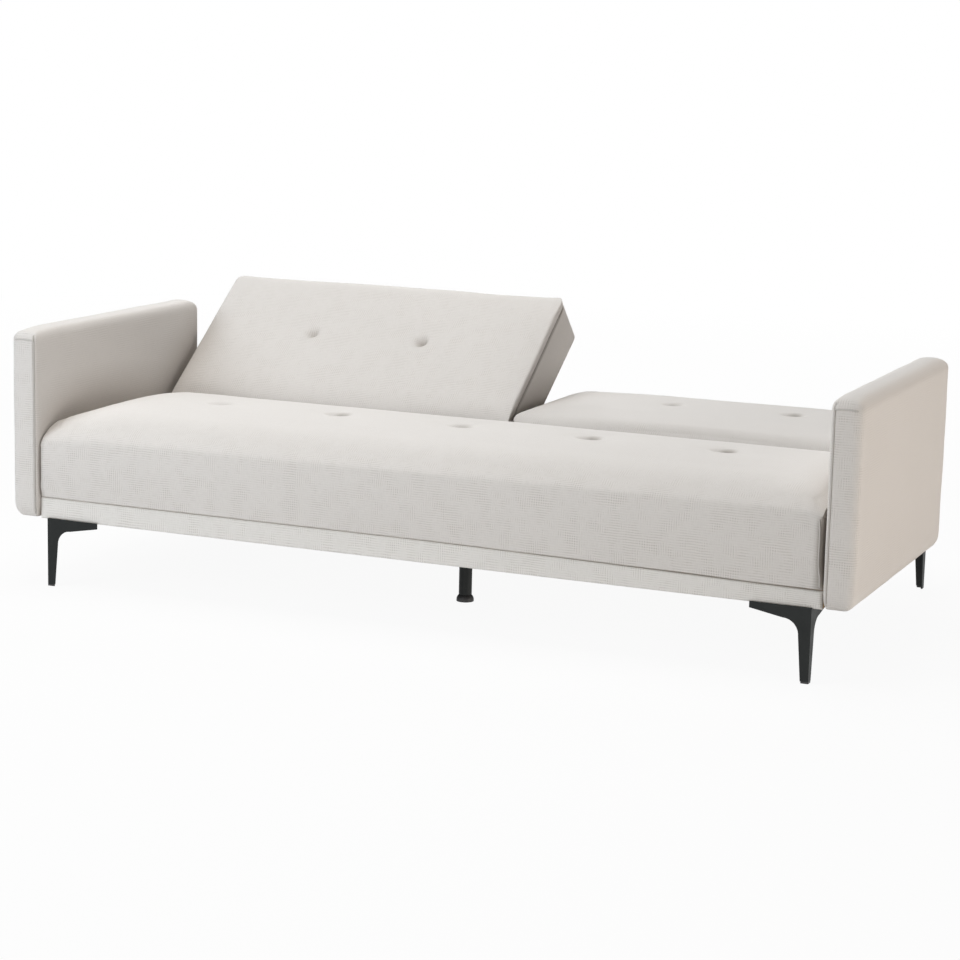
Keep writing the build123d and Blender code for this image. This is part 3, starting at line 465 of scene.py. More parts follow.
class Skin:
    """A closed grid over a box. keys are the points' places in the grid, box is where they start, points is where
    they are now, sides says which side of the box each face is on, and gather is the shade painted onto the cloth
    at each point."""

    def __init__(self, xs, ys, zs):
        self.axes = (xs, ys, zs)
        nx, ny, nz = len(xs) - 1, len(ys) - 1, len(zs) - 1
        self.index, self.keys, self.faces, self.sides = {}, [], [], []

        def at(i, j, k):
            key = (i, j, k)
            if key not in self.index:
                self.index[key] = len(self.keys)
                self.keys.append(key)
            return self.index[key]

        for j in range(ny):
            for k in range(nz):
                self.faces.append((at(0, j, k), at(0, j, k + 1), at(0, j + 1, k + 1), at(0, j + 1, k)))
                self.sides.append(0)
                self.faces.append((at(nx, j, k), at(nx, j + 1, k), at(nx, j + 1, k + 1), at(nx, j, k + 1)))
                self.sides.append(1)
        for i in range(nx):
            for k in range(nz):
                self.faces.append((at(i, 0, k), at(i + 1, 0, k), at(i + 1, 0, k + 1), at(i, 0, k + 1)))
                self.sides.append(2)
                self.faces.append((at(i, ny, k), at(i, ny, k + 1), at(i + 1, ny, k + 1), at(i + 1, ny, k)))
                self.sides.append(3)
        for i in range(nx):
            for j in range(ny):
                self.faces.append((at(i, j, 0), at(i, j + 1, 0), at(i + 1, j + 1, 0), at(i + 1, j, 0)))
                self.sides.append(4)
                self.faces.append((at(i, j, nz), at(i + 1, j, nz), at(i + 1, j + 1, nz), at(i, j + 1, nz)))
                self.sides.append(5)
        self.keys = np.array(self.keys)
        self.box = np.stack([a[self.keys[:, c]] for c, a in enumerate(self.axes)], 1)
        self.points = self.box.copy()
        # the shade painted onto the cloth, one value for each point
        self.painted_shade = np.zeros(len(self.box))

    def cast(self, tree, core_low, core_high):
        """Moves each point onto the outside of the solid in tree, on its line towards the core."""
        core = np.clip(self.box, core_low, core_high)
        way = self.box - core
        length = np.linalg.norm(way, axis=1)
        way /= np.maximum(length, 1e-9)[:, None]
        for i in range(len(self.points)):
            start = Vector(core[i] + way[i] * CAST_FROM)
            hit = tree.ray_cast(start, Vector(-way[i]), CAST_FROM)[0]
            if hit is not None:
                self.points[i] = hit

    def edge_path(self, fixed, running):
        """Point numbers along the box edge where each axis in fixed sits at its end, in order."""
        keep = np.ones(len(self.keys), bool)
        for axis, last in fixed.items():
            keep &= self.keys[:, axis] == (len(self.axes[axis]) - 1 if last else 0)
        found = np.nonzero(keep)[0]
        return found[np.argsort(self.keys[found, running])]

    def normals(self):
        p, f = self.points, np.array(self.faces)
        across = np.cross(p[f[:, 2]] - p[f[:, 0]], p[f[:, 3]] - p[f[:, 1]])
        total = np.zeros_like(p)
        for i in range(4):
            np.add.at(total, f[:, i], across)
        return total / np.maximum(np.linalg.norm(total, axis=1), 1e-12)[:, None]

    def build(self, name, material, turn=None, offset=(0.0, 0.0)):
        """Makes the object, turned where asked, with its weave laid from the box and shifted by offset."""
        mesh = bpy.data.meshes.new(name)
        points = self.points if turn is None else np.array([turn @ Vector(p) for p in self.points])
        mesh.from_pydata([tuple(p) for p in points], [], self.faces)
        layer = mesh.uv_layers.new(name="UVMap")
        b = self.box
        top = b[:, 2].max()
        layouts = ((-b[:, 1], b[:, 2]), (b[:, 1], b[:, 2]), (b[:, 0], b[:, 2]), (-b[:, 0], b[:, 2]),
                   (b[:, 0], -b[:, 1]), (b[:, 0], b[:, 1] - b[:, 1].min() + top))
        place = np.empty((len(self.faces) * 4, 2))
        for number, (face, side) in enumerate(zip(self.faces, self.sides)):
            u, v = layouts[side]
            for corner in range(4):
                place[number * 4 + corner] = (u[face[corner]] + offset[0], v[face[corner]] + offset[1])
        layer.data.foreach_set("uv", place.ravel())
        mesh.polygons.foreach_set("use_smooth", np.ones(len(self.faces), bool))
        # the painted shade goes to the material as a point attribute
        mesh.attributes.new("painted_shade", "FLOAT", "POINT").data.foreach_set("value", np.clip(self.painted_shade, 0, 1))
        facing = self.normals()
        if turn is not None:
            facing = np.array([turn.to_3x3() @ Vector(v) for v in facing])
        # ribs: the weave shows on faces turned to the front and fades on the rest, which in the colour is painted
        # light
        ribs = np.clip(0.15 - facing[:, 1], 0, 1)
        mesh.attributes.new("ribs", "FLOAT", "POINT").data.foreach_set("value", ribs)
        mesh.materials.append(material)
        mesh.update()
        made = bpy.data.objects.new(name, mesh)
        bpy.context.scene.collection.objects.link(made)
        return made


def tree_of(names, turn=None):
    """One search tree over CAD nodes, turned first where asked. The nodes themselves stay as they are."""
    points, faces = [], []
    for name in names:
        mesh = nodes[name].data
        base = len(points)
        points += [turn @ v.co if turn is not None else v.co.copy() for v in mesh.vertices]
        faces += [tuple(base + i for i in p.vertices) for p in mesh.polygons]
    return BVHTree.FromPolygons(points, faces), np.array(points)


def span(points):
    return points.min(0), points.max(0)


CORD_SIDES = 10
CORD_SWELL = 0.05
CORD_TIP = 0.55


def piping(name, path, radius, body, turn=None):
    """A sewn cord in cloth along a path of points, with its weave running round it."""
    points = [Vector(p) for p in path]
    if turn is not None:
        points = [turn @ p for p in points]
    last = len(points) - 1
    verts, faces, uvs, runs = [], [], [], []
    run = 0.0
    frame_up = None
    for i, p in enumerate(points):
        along = (points[min(i + 1, last)] - points[max(i - 1, 0)]).normalized()
        if frame_up is None:
            frame_up = along.orthogonal().normalized()
        frame_up = (frame_up - along * frame_up.dot(along)).normalized()
        side = along.cross(frame_up)
        if i:
            run += (p - points[i - 1]).length
        runs.append(run)
        swell = radius * (1 + CORD_SWELL * noise.noise(p * 60))
        if i in (0, last):
            swell *= CORD_TIP
        for s in range(CORD_SIDES):
            angle = 2 * math.pi * s / CORD_SIDES
            verts.append(p + swell * (math.cos(angle) * frame_up + math.sin(angle) * side))
    around = 2 * math.pi * radius / CORD_SIDES
    for i in range(last):
        here, there = i * CORD_SIDES, (i + 1) * CORD_SIDES
        for s in range(CORD_SIDES):
            t = (s + 1) % CORD_SIDES
            faces.append((here + s, here + t, there + t, there + s))
            uvs += [(runs[i], s * around), (runs[i], (s + 1) * around),
                    (runs[i + 1], (s + 1) * around), (runs[i + 1], s * around)]
    for i, order in ((0, -1), (last, 1)):
        ring = [i * CORD_SIDES + s for s in range(CORD_SIDES)]
        faces.append(tuple(ring[::order]))
        uvs += [(runs[i], 0.0)] * CORD_SIDES
    mesh = bpy.data.meshes.new(name)
    mesh.from_pydata(verts, [], faces)
    layer = mesh.uv_layers.new(name="UVMap")
    layer.data.foreach_set("uv", np.array(uvs).ravel())
    mesh.polygons.foreach_set("use_smooth", np.ones(len(faces), bool))
    mesh.materials.append(cloth_welt_shaded)
    mesh.update()
    made = bpy.data.objects.new(name, mesh)
    bpy.context.scene.collection.objects.link(made)
    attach(made, body)


CELL = 0.009
BLOW_PRESSURE = 3.0
BLOW_STIFFNESS = 30.0
BLOW_FRAMES = 20
BLOW_MOST = 0.006
HELD_LEVELS = 20


def inflate(skin, held):
    """Blows the skin up as cloth with the held points pinned, and moves no point further than BLOW_MOST.
    The cloth is every second line of the grid, and the points between follow it evenly."""
    kept = [np.unique(np.append(np.arange(0, len(a), 2), len(a) - 1)) for a in skin.axes]
    cloth_skin = Skin(*[a[k] for a, k in zip(skin.axes, kept)])
    from_fine = np.array([skin.index[(int(kept[0][i]), int(kept[1][j]), int(kept[2][k]))]
                          for i, j, k in cloth_skin.keys])
    start = skin.points[from_fine]
    mesh = bpy.data.meshes.new("blown")
    mesh.from_pydata([tuple(p) for p in start], [], cloth_skin.faces)
    mesh.update()
    made = bpy.data.objects.new("blown", mesh)
    bpy.context.scene.collection.objects.link(made)
    group = made.vertex_groups.new(name="held")
    levels = np.round(np.clip(held[from_fine], 0, 1) * HELD_LEVELS) / HELD_LEVELS
    for level_value in np.unique(levels):
        if level_value > 0:
            members = [int(i) for i in np.nonzero(levels == level_value)[0]]
            group.add(members, float(level_value), "REPLACE")
    cloth_modifier = made.modifiers.new("cloth", "CLOTH")
    settings = cloth_modifier.settings
    settings.quality = 5
    settings.mass = 0.35
    settings.tension_stiffness = BLOW_STIFFNESS
    settings.compression_stiffness = BLOW_STIFFNESS
    settings.shear_stiffness = BLOW_STIFFNESS * 0.6
    settings.bending_stiffness = 6.0
    settings.use_pressure = True
    settings.uniform_pressure_force = BLOW_PRESSURE
    settings.vertex_group_mass = "held"
    settings.effector_weights.gravity = 0.0
    cloth_modifier.point_cache.frame_start = 1
    cloth_modifier.point_cache.frame_end = BLOW_FRAMES
    scene = bpy.context.scene
    for number in range(1, BLOW_FRAMES + 1):
        scene.frame_set(number)
    shown = made.evaluated_get(bpy.context.evaluated_depsgraph_get()).to_mesh()
    blown = np.empty(len(start) * 3)
    shown.vertices.foreach_get("co", blown)
    move = blown.reshape(-1, 3) - start
    far = np.linalg.norm(move, axis=1)
    move *= np.minimum(1.0, BLOW_MOST / np.maximum(far, 1e-9))[:, None]
    bpy.data.objects.remove(made)
    bpy.data.meshes.remove(mesh)
    scene.frame_set(1)
    # each point takes its share of the move of the eight cloth points round it
    shift = np.zeros_like(skin.points)
    share = np.zeros(len(skin.points))
    weights = []
    for axis in range(3):
        low_line = np.searchsorted(kept[axis], skin.keys[:, axis], side="right") - 1
        high_line = np.minimum(low_line + 1, len(kept[axis]) - 1)
        a, b = kept[axis][low_line], kept[axis][high_line]
        part = np.where(b > a, (skin.keys[:, axis] - a) / np.maximum(b - a, 1), 0.0)
        weights.append((low_line, high_line, part))
    for pick in range(8):
        lines = [weights[axis][(pick >> axis) & 1] for axis in range(3)]
        weight = np.ones(len(skin.points))
        for axis in range(3):
            part = weights[axis][2]
            weight = weight * (part if (pick >> axis) & 1 else 1 - part)
        for number in np.nonzero(weight > 1e-9)[0]:
            found = cloth_skin.index.get(tuple(int(line[number]) for line in lines))
            if found is not None:
                shift[number] += weight[number] * move[found]
                share[number] += weight[number]
    skin.points = skin.points + shift / np.maximum(share, 1e-9)[:, None]


TUFT_REACH = 0.055


def near_ties(skin, ties):
    """For the points on top of the skin, how close each is to the nearest tie, from 0 to 1."""
    close = np.zeros(len(skin.points))
    for x, y in ties:
        far = np.hypot(skin.points[:, 0] - x, skin.points[:, 1] - y)
        close = np.maximum(close, np.clip(1 - far / TUFT_REACH, 0, 1))
    return close * (skin.keys[:, 2] == len(skin.axes[2]) - 1)


DRAWN_IN = 0.003


def draw_in(skin, held, low, high):
    """Takes the free cloth in a little before it is blown up, but less near the ends."""
    from_end = np.minimum(skin.points[:, 0] - low[0], high[0] - skin.points[:, 0])
    skin.points -= skin.normals() * (DRAWN_IN * (1 - held) * np.clip(from_end / 0.06, 0, 1))[:, None]


PULL = 0.010            # how much further the twine is drawn in than in the CAD part
TUFT_DEPTH = 0.015      # how deep the CAD part's twine ends below the cloth
PIT_EASE = 0.001        # how far the cloth of a fully pulled tuft stays above the end of the twine
PLANE_RING = (0.045, 0.070)
PIT_REACH, PIT_SLOPE = 0.026, 0.022
PIT_OUT, PIT_BLEND = 0.048, 0.014
CREASE_BEND = 9.0
CREASE_DEPTH, CREASE_WIDTH, CREASE_LENGTH = 0.0035, 0.005, 0.026
# how far the painted shade of a tuft reaches
DARK_LENGTH = 0.0145
FOLD_WIDTH, FOLD_LENGTH = 0.0042, 0.015


def pinch(skin, x, y, angle, wide, pull, size, dark, crease, steep=1.7):
    """Draws a sewn tuft in to a point and out into a crease along angle, with its long slope on the side at wide.
    The round pit of the CAD part is levelled with the cloth round it first. Shade is painted onto the cloth where
    the tuft's pit and crease fall dark: by dark at the point, and by crease along the crease. pull is the strength
    of the tuft, size its width, and steep how sharp its point is."""
    top = skin.keys[:, 2] == len(skin.axes[2]) - 1
    dx, dy = skin.points[:, 0] - x, skin.points[:, 1] - y
    far = np.hypot(dx, dy)
    along = dx * math.cos(angle) + dy * math.sin(angle)
    across = dy * math.cos(angle) - dx * math.sin(angle) - CREASE_BEND * along ** 2
    side = 0.5 + 0.5 * np.cos(np.arctan2(dy, dx) - wide)
    ring = top & (far > PLANE_RING[0]) & (far < PLANE_RING[1])
    flat = np.stack([np.ones(len(dx)), dx, dy], 1)
    plane = flat @ np.linalg.lstsq(flat[ring], skin.points[ring, 2], rcond=None)[0]
    reach = (PIT_REACH + PIT_SLOPE * side) * size
    cone = (TUFT_DEPTH + PULL - PIT_EASE) * (0.7 + 0.3 * pull) * np.clip(1 - far / reach, 0, 1) ** steep
    line = CREASE_DEPTH * pull * np.exp(-(across / CREASE_WIDTH) ** 2 - (along / (CREASE_LENGTH * size)) ** 4)
    line *= np.clip(far / 0.01, 0, 1)
    share = np.where(top, np.clip((PIT_OUT - far) / PIT_BLEND, 0, 1), 0.0)
    skin.points[:, 2] += share * (plane - skin.points[:, 2]) - np.where(top, cone + line, 0.0)
    # painted shade round the tuft: strongest at its point and along its crease
    core = np.clip(1.5 - far / (0.58 * reach), 0, 1)
    core *= np.clip(1.5 - np.abs(along) / (DARK_LENGTH * size), 0, 1)
    fold = np.exp(-(across / FOLD_WIDTH) ** 2 - (along / (FOLD_LENGTH * size)) ** 4)
    shade = pull * np.maximum(dark * core, crease * fold)
    skin.painted_shade = np.maximum(skin.painted_shade, np.where(top, shade, 0.0))


TIE_END = 0.02


def shorter_ties(name, body, down):
    """A copy of the twine of the tufts, its upper ends drawn down with the cloth."""
    mesh = nodes[name].data.copy()
    depth = np.array([v.co.dot(down) for v in mesh.vertices])
    for v, d in zip(mesh.vertices, depth):
        if d < depth.min() + TIE_END:
            v.co += down * PULL
    made = bpy.data.objects.new(name.replace("tuft", "drawn"), mesh)
    bpy.context.scene.collection.objects.link(made)
    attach(made, body)
    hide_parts(name)


def rounded(skin, low, high, radii_low, radii_high):
    """Rounds the edges of a boxy skin, with a radius of its own for each of the six sides."""
    radii_low, radii_high = np.array(radii_low), np.array(radii_high)
    core = np.clip(skin.points, low + radii_low, high - radii_high)
    way = skin.points - core
    reach = np.sqrt(((way / np.where(way > 0, radii_high, radii_low)) ** 2).sum(1))
    skin.points = core + way / np.maximum(reach, 1.0)[:, None]


ROUND_POWER = 1.45


def waterfall(skin, run, falls):
    """Turns the front top edge into part of a flat ellipse: a long slope that ends in a tight turn to the
    front. It is run deep and as high as falls says at the left and the right end."""
    last_z = len(skin.axes[2]) - 1
    for i in range(len(skin.axes[0])):
        column = skin.keys[:, 0] == i
        row = np.nonzero(column)[0]
        face = skin.points[column & (skin.keys[:, 1] == 0)]
        top = skin.points[column & (skin.keys[:, 2] == last_z)]
        fall = np.interp(skin.axes[0][i], (skin.axes[0][0], skin.axes[0][-1]), falls)
        front = face[:, 1].min()
        level = top[np.argmin(np.abs(top[:, 1] - front - run)), 2]
        front = face[np.argmin(np.abs(face[:, 2] - level + fall)), 1]
        p = skin.points[row]
        u, v = (front + run - p[:, 1]) / run, (p[:, 2] - level + fall) / fall
        inside = (u > 0) & (v > 0)
        reach = (np.clip(u, 0, None) ** ROUND_POWER + np.clip(v, 0, None) ** ROUND_POWER) ** (1 / ROUND_POWER)
        reach = np.where(inside, reach, 1.0)
        reach = np.maximum(reach, 0.2)
        skin.points[row, 1] += np.where(inside, run * u * (1 - 1 / reach), 0.0)
        skin.points[row, 2] += np.where(inside, fall * v * (1 / reach - 1), 0.0)


def groove(skin, fixed, level_axis, level, depth, width, dark):
    """Sinks a sewn seam into the side of the skin that fixed names, paints shade along it as strong as dark says,
    and returns the path of its cord.
    """
    axis, last = fixed
    end = len(skin.axes[axis]) - 1 if last else 0
    line = int(np.argmin(np.abs(skin.axes[level_axis] - level)))
    on_side = skin.keys[:, axis] == end
    place = skin.axes[level_axis][line]
    away = np.abs(skin.box[:, level_axis] - place)
    running = 3 - axis - level_axis
    row = np.nonzero(on_side & (skin.keys[:, level_axis] == line))[0]
    row = row[np.argsort(skin.keys[row, running])]
    path = skin.points[row].copy()
    inward = -1.0 if last else 1.0
    skin.points[:, axis] += np.where(on_side, inward * depth * np.exp(-(away / width) ** 2), 0.0)
    # painted shade along the seam
    skin.painted_shade = np.maximum(skin.painted_shade, np.where(on_side, dark * np.exp(-(away / (width * 1.1)) ** 2), 0.0))
    path[:, axis] += inward * depth * 0.45
    return path


def ripples(skin, amount, scale, seed):
    """Slow unevenness of stuffed cloth, along the normals."""
    normals = skin.normals()
    for i, p in enumerate(skin.points):
        value = noise.noise(Vector(p) * scale + Vector((seed, -seed, seed * 0.5)))
        skin.points[i] = p + normals[i] * amount * value


def tie_places(name, turn=None):
    """Where each tie of a tufted cushion stands, from the CAD node that holds them."""
    _, points = tree_of([name], turn)
    xs = np.sort(points[:, 0])
    groups = np.split(xs, np.nonzero(np.diff(xs) > 0.05)[0] + 1)
    return [(float(g.mean()), float(points[np.isin(points[:, 0], g)][:, 1].mean())) for g in groups]


# the seat
TUFT_CELL = 0.0035
SEAT_RUN, SEAT_FALLS = 0.095, (0.062, 0.046)
END_HANG_LEFT, END_HANG_RIGHT = 0.046, 0.010
SEAM_DROP = 0.0125
# each tuft's crease and strength, and how far the last points of each welt sink into the cloth
TUFT_TURNS = (0.10, -0.06, 0.16, 0.02, -0.10)
TUFT_PULLS = (0.12, 0.85, 0.45, 0.90, 1.0)
WELT_SINKS = (0.0006, 0.0018, 0.0034, 0.0052, 0.0072)

tree, points = tree_of(["seat_cover", "seat_tuft_ties"])
low, high = span(points)
seat_ties = tie_places("seat_tuft_ties")
seat = Skin(steps(low[0], high[0], CELL, *[(x, TUFT_CELL) for x, y in seat_ties]),
            steps(low[1], high[1], CELL, (seat_ties[0][1], TUFT_CELL)),
            steps(low[2], high[2], CELL, (low[2], 0.002), (high[2] - 0.055, 0.004)))
seat.cast(tree, low + (0.070, 0.058, 0.010), high - (0.070, 0.058, 0.060))
below = seat.keys[:, 2] == 0
ends = (seat.keys[:, 0] == 0) | (seat.keys[:, 0] == len(seat.axes[0]) - 1)
front_or_rear = (seat.keys[:, 1] == 0) | (seat.keys[:, 1] == len(seat.axes[1]) - 1)
tufted = near_ties(seat, seat_ties)
height = (seat.points[:, 2] - low[2]) / (high[2] - low[2])
held = np.maximum(np.where(below, 1.0, 0.0), np.clip(tufted * 1.6, 0, 1))
held = np.maximum(held, np.clip(1 - height / 0.12, 0, 1))
held = np.maximum(held, np.where(ends, 1.0, np.where(front_or_rear, 0.3, 0.0)))
draw_in(seat, held, low, high)
inflate(seat, held)
ripples(seat, 0.0007, 7.0, 3.1)
waterfall(seat, SEAT_RUN, SEAT_FALLS)
from_left, from_right = seat.points[:, 0] - low[0], high[0] - seat.points[:, 0]
depth_share = (seat.points[:, 1] - low[1]) / (high[1] - low[1])
height = np.clip((seat.points[:, 2] - low[2]) / (high[2] - low[2]), 0, 1)
along_side = np.clip(0.22 + 1.55 * depth_share, 0, 1) + 0.6 * np.clip(depth_share - 0.5, 0, 0.4)
end_hang = END_HANG_LEFT * np.clip(1 - from_left / 0.14, 0, 1) ** 2 * along_side
end_hang += END_HANG_RIGHT * np.clip(1 - from_right / 0.05, 0, 1) ** 2
seat.points[:, 2] -= end_hang * height
corner = np.clip(1 - (seat.points[:, 1] - low[1]) / 0.06, 0, 1)
corner *= np.clip(height / 0.25, 0, 1)
seat.points[:, 0] += corner * (0.003 * np.clip(1 - from_left / 0.04, 0, 1)
                               - 0.0085 * np.clip(1 - from_right / 0.06, 0, 1))


def seam_drop(points, front_y):
    """How far the seam between the seat and the apron hangs down: more towards the right end."""
    share = np.clip(points[:, 0] / 0.93, 0, 1)
    front = np.clip(1 - (points[:, 1] - front_y) / 0.03, 0, 1)
    return SEAM_DROP * share ** 1.3 * np.sqrt(front)


foot_share = np.clip(1 - (seat.points[:, 2] - low[2]) / 0.07, 0, 1)
seat.points[:, 2] -= seam_drop(seat.points, low[1]) * foot_share
for (x, y), turn, pull in zip(seat_ties, TUFT_TURNS, TUFT_PULLS):
    pinch(seat, x, y, turn, math.pi / 2, pull, 1.05, 1.15, 1.1)
for side, last, shift in (("left", False, (-0.0012, 0.004, 0)), ("right", True, (0.0, 0.0004, 0))):
    edge = seat.edge_path({0: last, 1: False}, 2)
    path = seat.points[edge][2:int(len(edge) * 0.80)] + shift
    path[-len(WELT_SINKS):, 1] += np.array(WELT_SINKS)
    # painted shade along each welt, fading out towards its upper end
    ring = np.linalg.norm(seat.points[:, None, :2] - path[None, ::4, :2], axis=2).min(1)
    fade = np.clip((path[-1][2] - seat.points[:, 2]) / 0.03, 0, 1)
    seat.painted_shade = np.maximum(seat.painted_shade, 0.55 * fade * np.exp(-(ring / 0.0055) ** 2))
    piping(f"seat_welt_{side}", path, 0.0020, "base")
seat_piece = seat.build("seat_cushion", cloth)
shorter_ties("seat_tuft_ties", "base", Vector((0, 0, -1)))
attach(seat_piece, "base")
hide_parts("seat_cover", "seat_foam")

# the two halves of the back, each shaped as it lies flat: the photograph shows the left half raised and
# the right half flat, and each follows its own cushion there
SEAM_SET = 0.030
END_SWELL = 0.010
END_DROP, END_DROP_RUN = 0.020, 0.26
# turns and pulls are each tuft's crease and strength, shade is the dark, crease and steep of pinch, radii are
# those of the low and the high sides, bow is how far the top edge bows back and up, and weave is its offset
BACKS = {
    "left": {"seed": 7.7, "turns": (1.06, 1.0), "pulls": (0.4, 0.75), "shade": (0.10, 0.85, 3.0),
             "radii": ((0.050, 0.006, 0.008), (0.050, 0.044, 0.012)), "bow": (0.0105, 0.0065),
             "weave": (0.31, 0.17)},
    "right": {"seed": 11.9, "turns": (0.05, 0.05), "pulls": (0.40, 0.85), "shade": (1.05, 1.1, 1.7),
              "radii": ((0.080, 0.006, 0.008), (0.016, 0.044, 0.020)), "bow": (0.0075, -0.0015),
              "weave": (0.83, 0.41)},
}
for side, form in BACKS.items():
    inner_last = side == "left"
    joint = joints[f"back_{side}_fold"]
    pivot = Vector(joint["pos_m"])
    raised = -math.radians(joint["range_deg"][0])
    spin = Matrix.Translation(pivot) @ Matrix.Rotation(raised, 4, "X") @ Matrix.Translation(-pivot)
    flat = spin.inverted()
    tree, points = tree_of([f"back_cover_{side}", f"back_tuft_ties_{side}"], flat)
    low, high = span(points)
    back_ties = tie_places(f"back_tuft_ties_{side}", flat)
    back = Skin(steps(low[0], high[0], CELL, (low[0], 0.003), (high[0], 0.003),
                      *[(x, TUFT_CELL) for x, y in back_ties]),
                steps(low[1], high[1], CELL, (back_ties[0][1], TUFT_CELL)),
                steps(low[2], high[2], CELL, (high[2] - SEAM_SET, 0.0016), (high[2], 0.004)))
    back.cast(tree, low + (0.012, 0.064, 0.045), high - (0.012, 0.040, 0.045))
    ends = (back.keys[:, 0] == 0) | (back.keys[:, 0] == len(back.axes[0]) - 1)
    below = back.keys[:, 2] == 0
    tufted = near_ties(back, back_ties)
    held = np.maximum(np.where(ends | below, 1.0, 0.0), np.clip(tufted * 1.6, 0, 1))
    draw_in(back, held, low, high)
    inflate(back, held)
    ripples(back, 0.0007, 8.0, form["seed"])
    for (x, y), turn, pull in zip(back_ties, form["turns"], form["pulls"]):
        pinch(back, x, y, turn, turn + math.pi / 2, pull, 0.95, *form["shade"])
    rounded(back, low, high, *form["radii"])
    share = (back.points[:, 0] - low[0]) / (high[0] - low[0])
    bow = 1 - np.abs(2 * np.clip(share, 0, 1) - 1) ** 2.6
    upper = np.clip((back.points[:, 1] - (high[1] - 0.16)) / 0.16, 0, 1) ** 2
    upper *= np.clip((back.points[:, 2] - low[2]) / (high[2] - low[2]), 0, 1) ** 0.5
    back.points[:, 1] += form["bow"][0] * bow * upper
    back.points[:, 2] += form["bow"][1] * bow * upper
    if inner_last:
        rear = np.clip((low[2] + 0.11 - back.points[:, 2]) / 0.11, 0, 1)
        rear *= np.clip((share - 0.96) / 0.04, 0, 1)
        depth_share = np.clip((back.points[:, 1] - low[1]) / (high[1] - low[1]), 0, 1)
        back.points[:, 0] += END_SWELL * rear * depth_share
    else:
        near_end = np.clip(1 - (back.points[:, 0] - low[0]) / END_DROP_RUN, 0, 1)
        back.points[:, 2] -= END_DROP * near_end ** 2 * upper
    path = groove(back, (0, inner_last), 2, high[2] - SEAM_SET, 0.0035, 0.0030, 1.0)
    piping(f"back_welt_{side}", path[2:int(len(path) * 0.88)], 0.0017, f"back_{side}", spin)
    shorter_ties(f"back_tuft_ties_{side}", f"back_{side}", (spin.to_3x3() @ Vector((0, 0, -1))))
    piece = back.build(f"back_cushion_{side}", cloth_back_shaded, spin, form["weave"])
    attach(piece, f"back_{side}")
    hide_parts(f"back_cover_{side}", f"back_foam_{side}")

# the arms
OUTER_RADIUS, INNER_RADIUS = 0.024, 0.010
SEAM_IN = 0.0085
WELT_END = 0.012
CROWN_EDGE, CROWN_MIDDLE = 0.0035, 0.006
REAR_SWELL = 0.009
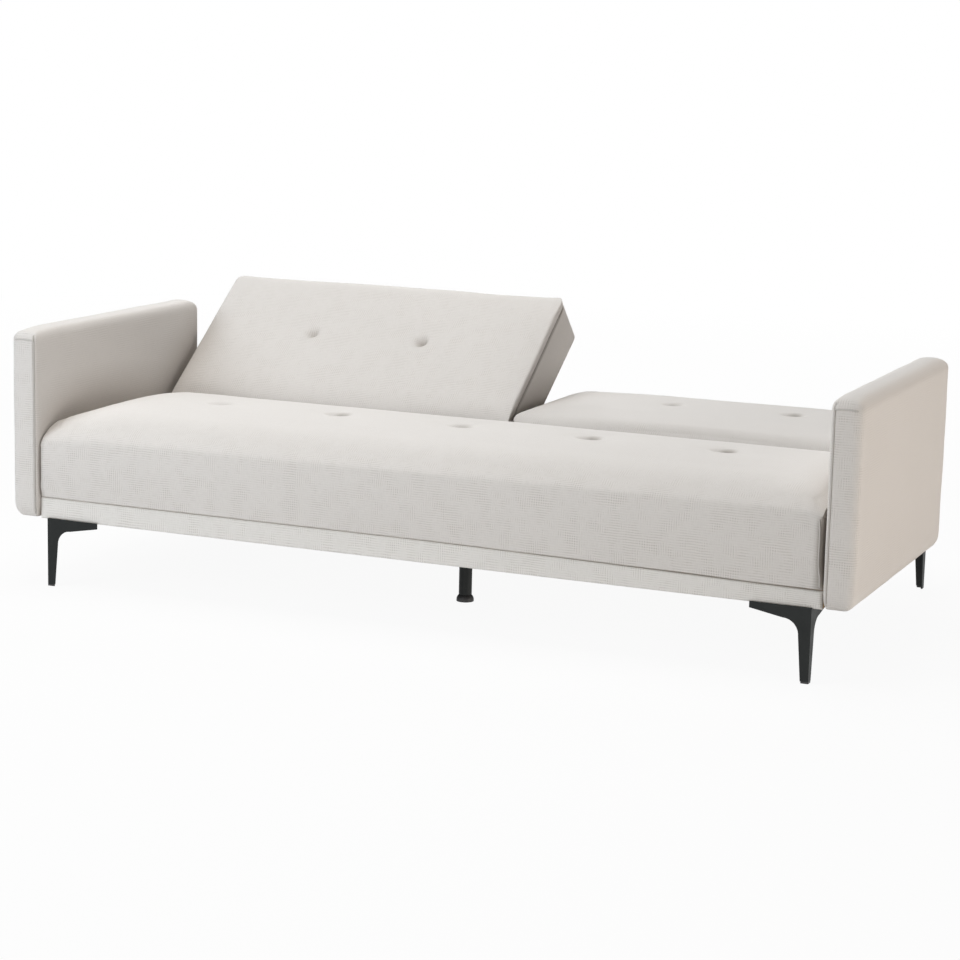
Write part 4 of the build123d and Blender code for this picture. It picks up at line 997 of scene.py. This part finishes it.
# rise lifts the top rear edge, and dark is how strong the shade painted along the front seam is
ARMS = {
    "left": {"seed": 5.3, "rise": 0.002, "dark": 0.7, "weave": (0.13, 0.57)},
    "right": {"seed": 17.1, "rise": -0.002, "dark": 0.1, "weave": (0.67, 0.29)},
}
for side, form in ARMS.items():
    tree, points = tree_of([f"arm_cover_{side}"])
    low, high = span(points)
    inner_last = side == "left"
    seam_x = high[0] - SEAM_IN if inner_last else low[0] + SEAM_IN
    arm = Skin(steps(low[0], high[0], 0.006, (low[0], 0.003), (high[0], 0.003), (seam_x, 0.0015)),
               steps(low[1], high[1], CELL, (low[1], 0.003)),
               steps(low[2], high[2], CELL, (low[2], 0.003), (high[2], 0.004)))
    arm.cast(tree, low + (0.025, 0.025, 0.025), high - (0.025, 0.060, 0.045))
    radii = (OUTER_RADIUS, INNER_RADIUS) if inner_last else (INNER_RADIUS, OUTER_RADIUS)
    rounded(arm, low, high, (radii[0], 0.015, 0.034), (radii[1], 0.020, 0.018))
    top = np.clip((arm.box[:, 2] - (high[2] - 0.05)) / 0.05, 0, 1)
    from_front = np.clip((arm.box[:, 1] - low[1]) / 0.07, 0, 1)
    from_rear = np.clip((high[1] - arm.box[:, 1]) / 0.05, 0, 1)
    middle = 1 - ((arm.box[:, 0] - (low[0] + high[0]) / 2) / ((high[0] - low[0]) / 2)) ** 2
    crown = CROWN_EDGE + CROWN_MIDDLE * middle * (0.4 + 0.6 * np.sqrt(from_rear))
    arm.points[:, 2] += top * np.sqrt(from_front) * crown
    rear = np.clip((arm.box[:, 1] - (high[1] - 0.07)) / 0.07, 0, 1)
    arm.points[:, 1] += REAR_SWELL * rear * np.clip((arm.box[:, 2] - low[2]) / 0.2, 0, 1)
    arm.points[:, 2] += form["rise"] * rear * top
    ripples(arm, 0.0009, 11.0, form["seed"])
    path = groove(arm, (1, False), 0, seam_x, 0.0025, 0.002, form["dark"])
    path = [p for p in path if low[2] + 0.012 < p[2] < high[2] - 0.022]
    far_x = low[0] + WELT_END if inner_last else high[0] - WELT_END
    across = [Vector((seam_x + s * (far_x - seam_x), low[1] + 0.0005,
                      high[2] - 0.0165 + 0.002 * math.sin(math.pi * s))) for s in np.linspace(0.0, 1.0, 9)]
    piping(f"arm_welt_{side}", path + across, 0.0016, "base")
    piece = arm.build(f"arm_pad_{side}", cloth, None, form["weave"])
    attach(piece, "base")
    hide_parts(f"arm_cover_{side}")

# the apron
APRON_EASE = 0.003
APRON_HANG = 0.0025
tree, points = tree_of(["apron_cover"])
low, high = span(points)
apron = Skin(steps(low[0], high[0], CELL), steps(low[1], high[1], 0.0015),
             steps(low[2], high[2], 0.004, (low[2], 0.001), (high[2], 0.001)))
apron.cast(tree, low + (0.004, 0.003, 0.004), high - (0.004, 0.001, 0.004))
rise_share = np.clip((apron.box[:, 2] - low[2]) / (high[2] - low[2]), 0, 1)
apron.points[:, 2] -= seam_drop(apron.points, low[1]) * rise_share
run = apron.points[:, 0].copy()
apron.points[:, 0] += APRON_EASE * np.sign(run) * np.clip(np.abs(run) - 0.85, 0, 0.05) / 0.05
apron.points[:, 2] -= APRON_HANG * np.clip(1 - (apron.box[:, 2] - low[2]) / 0.02, 0, 1)
# The apron's cloth is a lighter copy of the linen: painted light, for the light the floor throws up on it.
cloth_apron_lit = linen("linen_apron_painted_light", tinted(LINEN, 1.12, most=0.9))
apron_piece = apron.build("apron", cloth_apron_lit, None, (0.43, 0.79))
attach(apron_piece, "base")
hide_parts("apron_cover")

# the pawl springs, each copied into a leaf of its own that stands in for the hidden CAD part
for side in ("left", "right"):
    name = f"pawl_spring_{side}"
    leaf = bpy.data.objects.new(f"pawl_leaf_{side}", nodes[name].data.copy())
    bpy.context.scene.collection.objects.link(leaf)
    low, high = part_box(name)
    middle = [(a + b) / 2 for a, b in zip(low, high)]
    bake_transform(leaf)
    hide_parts(name)
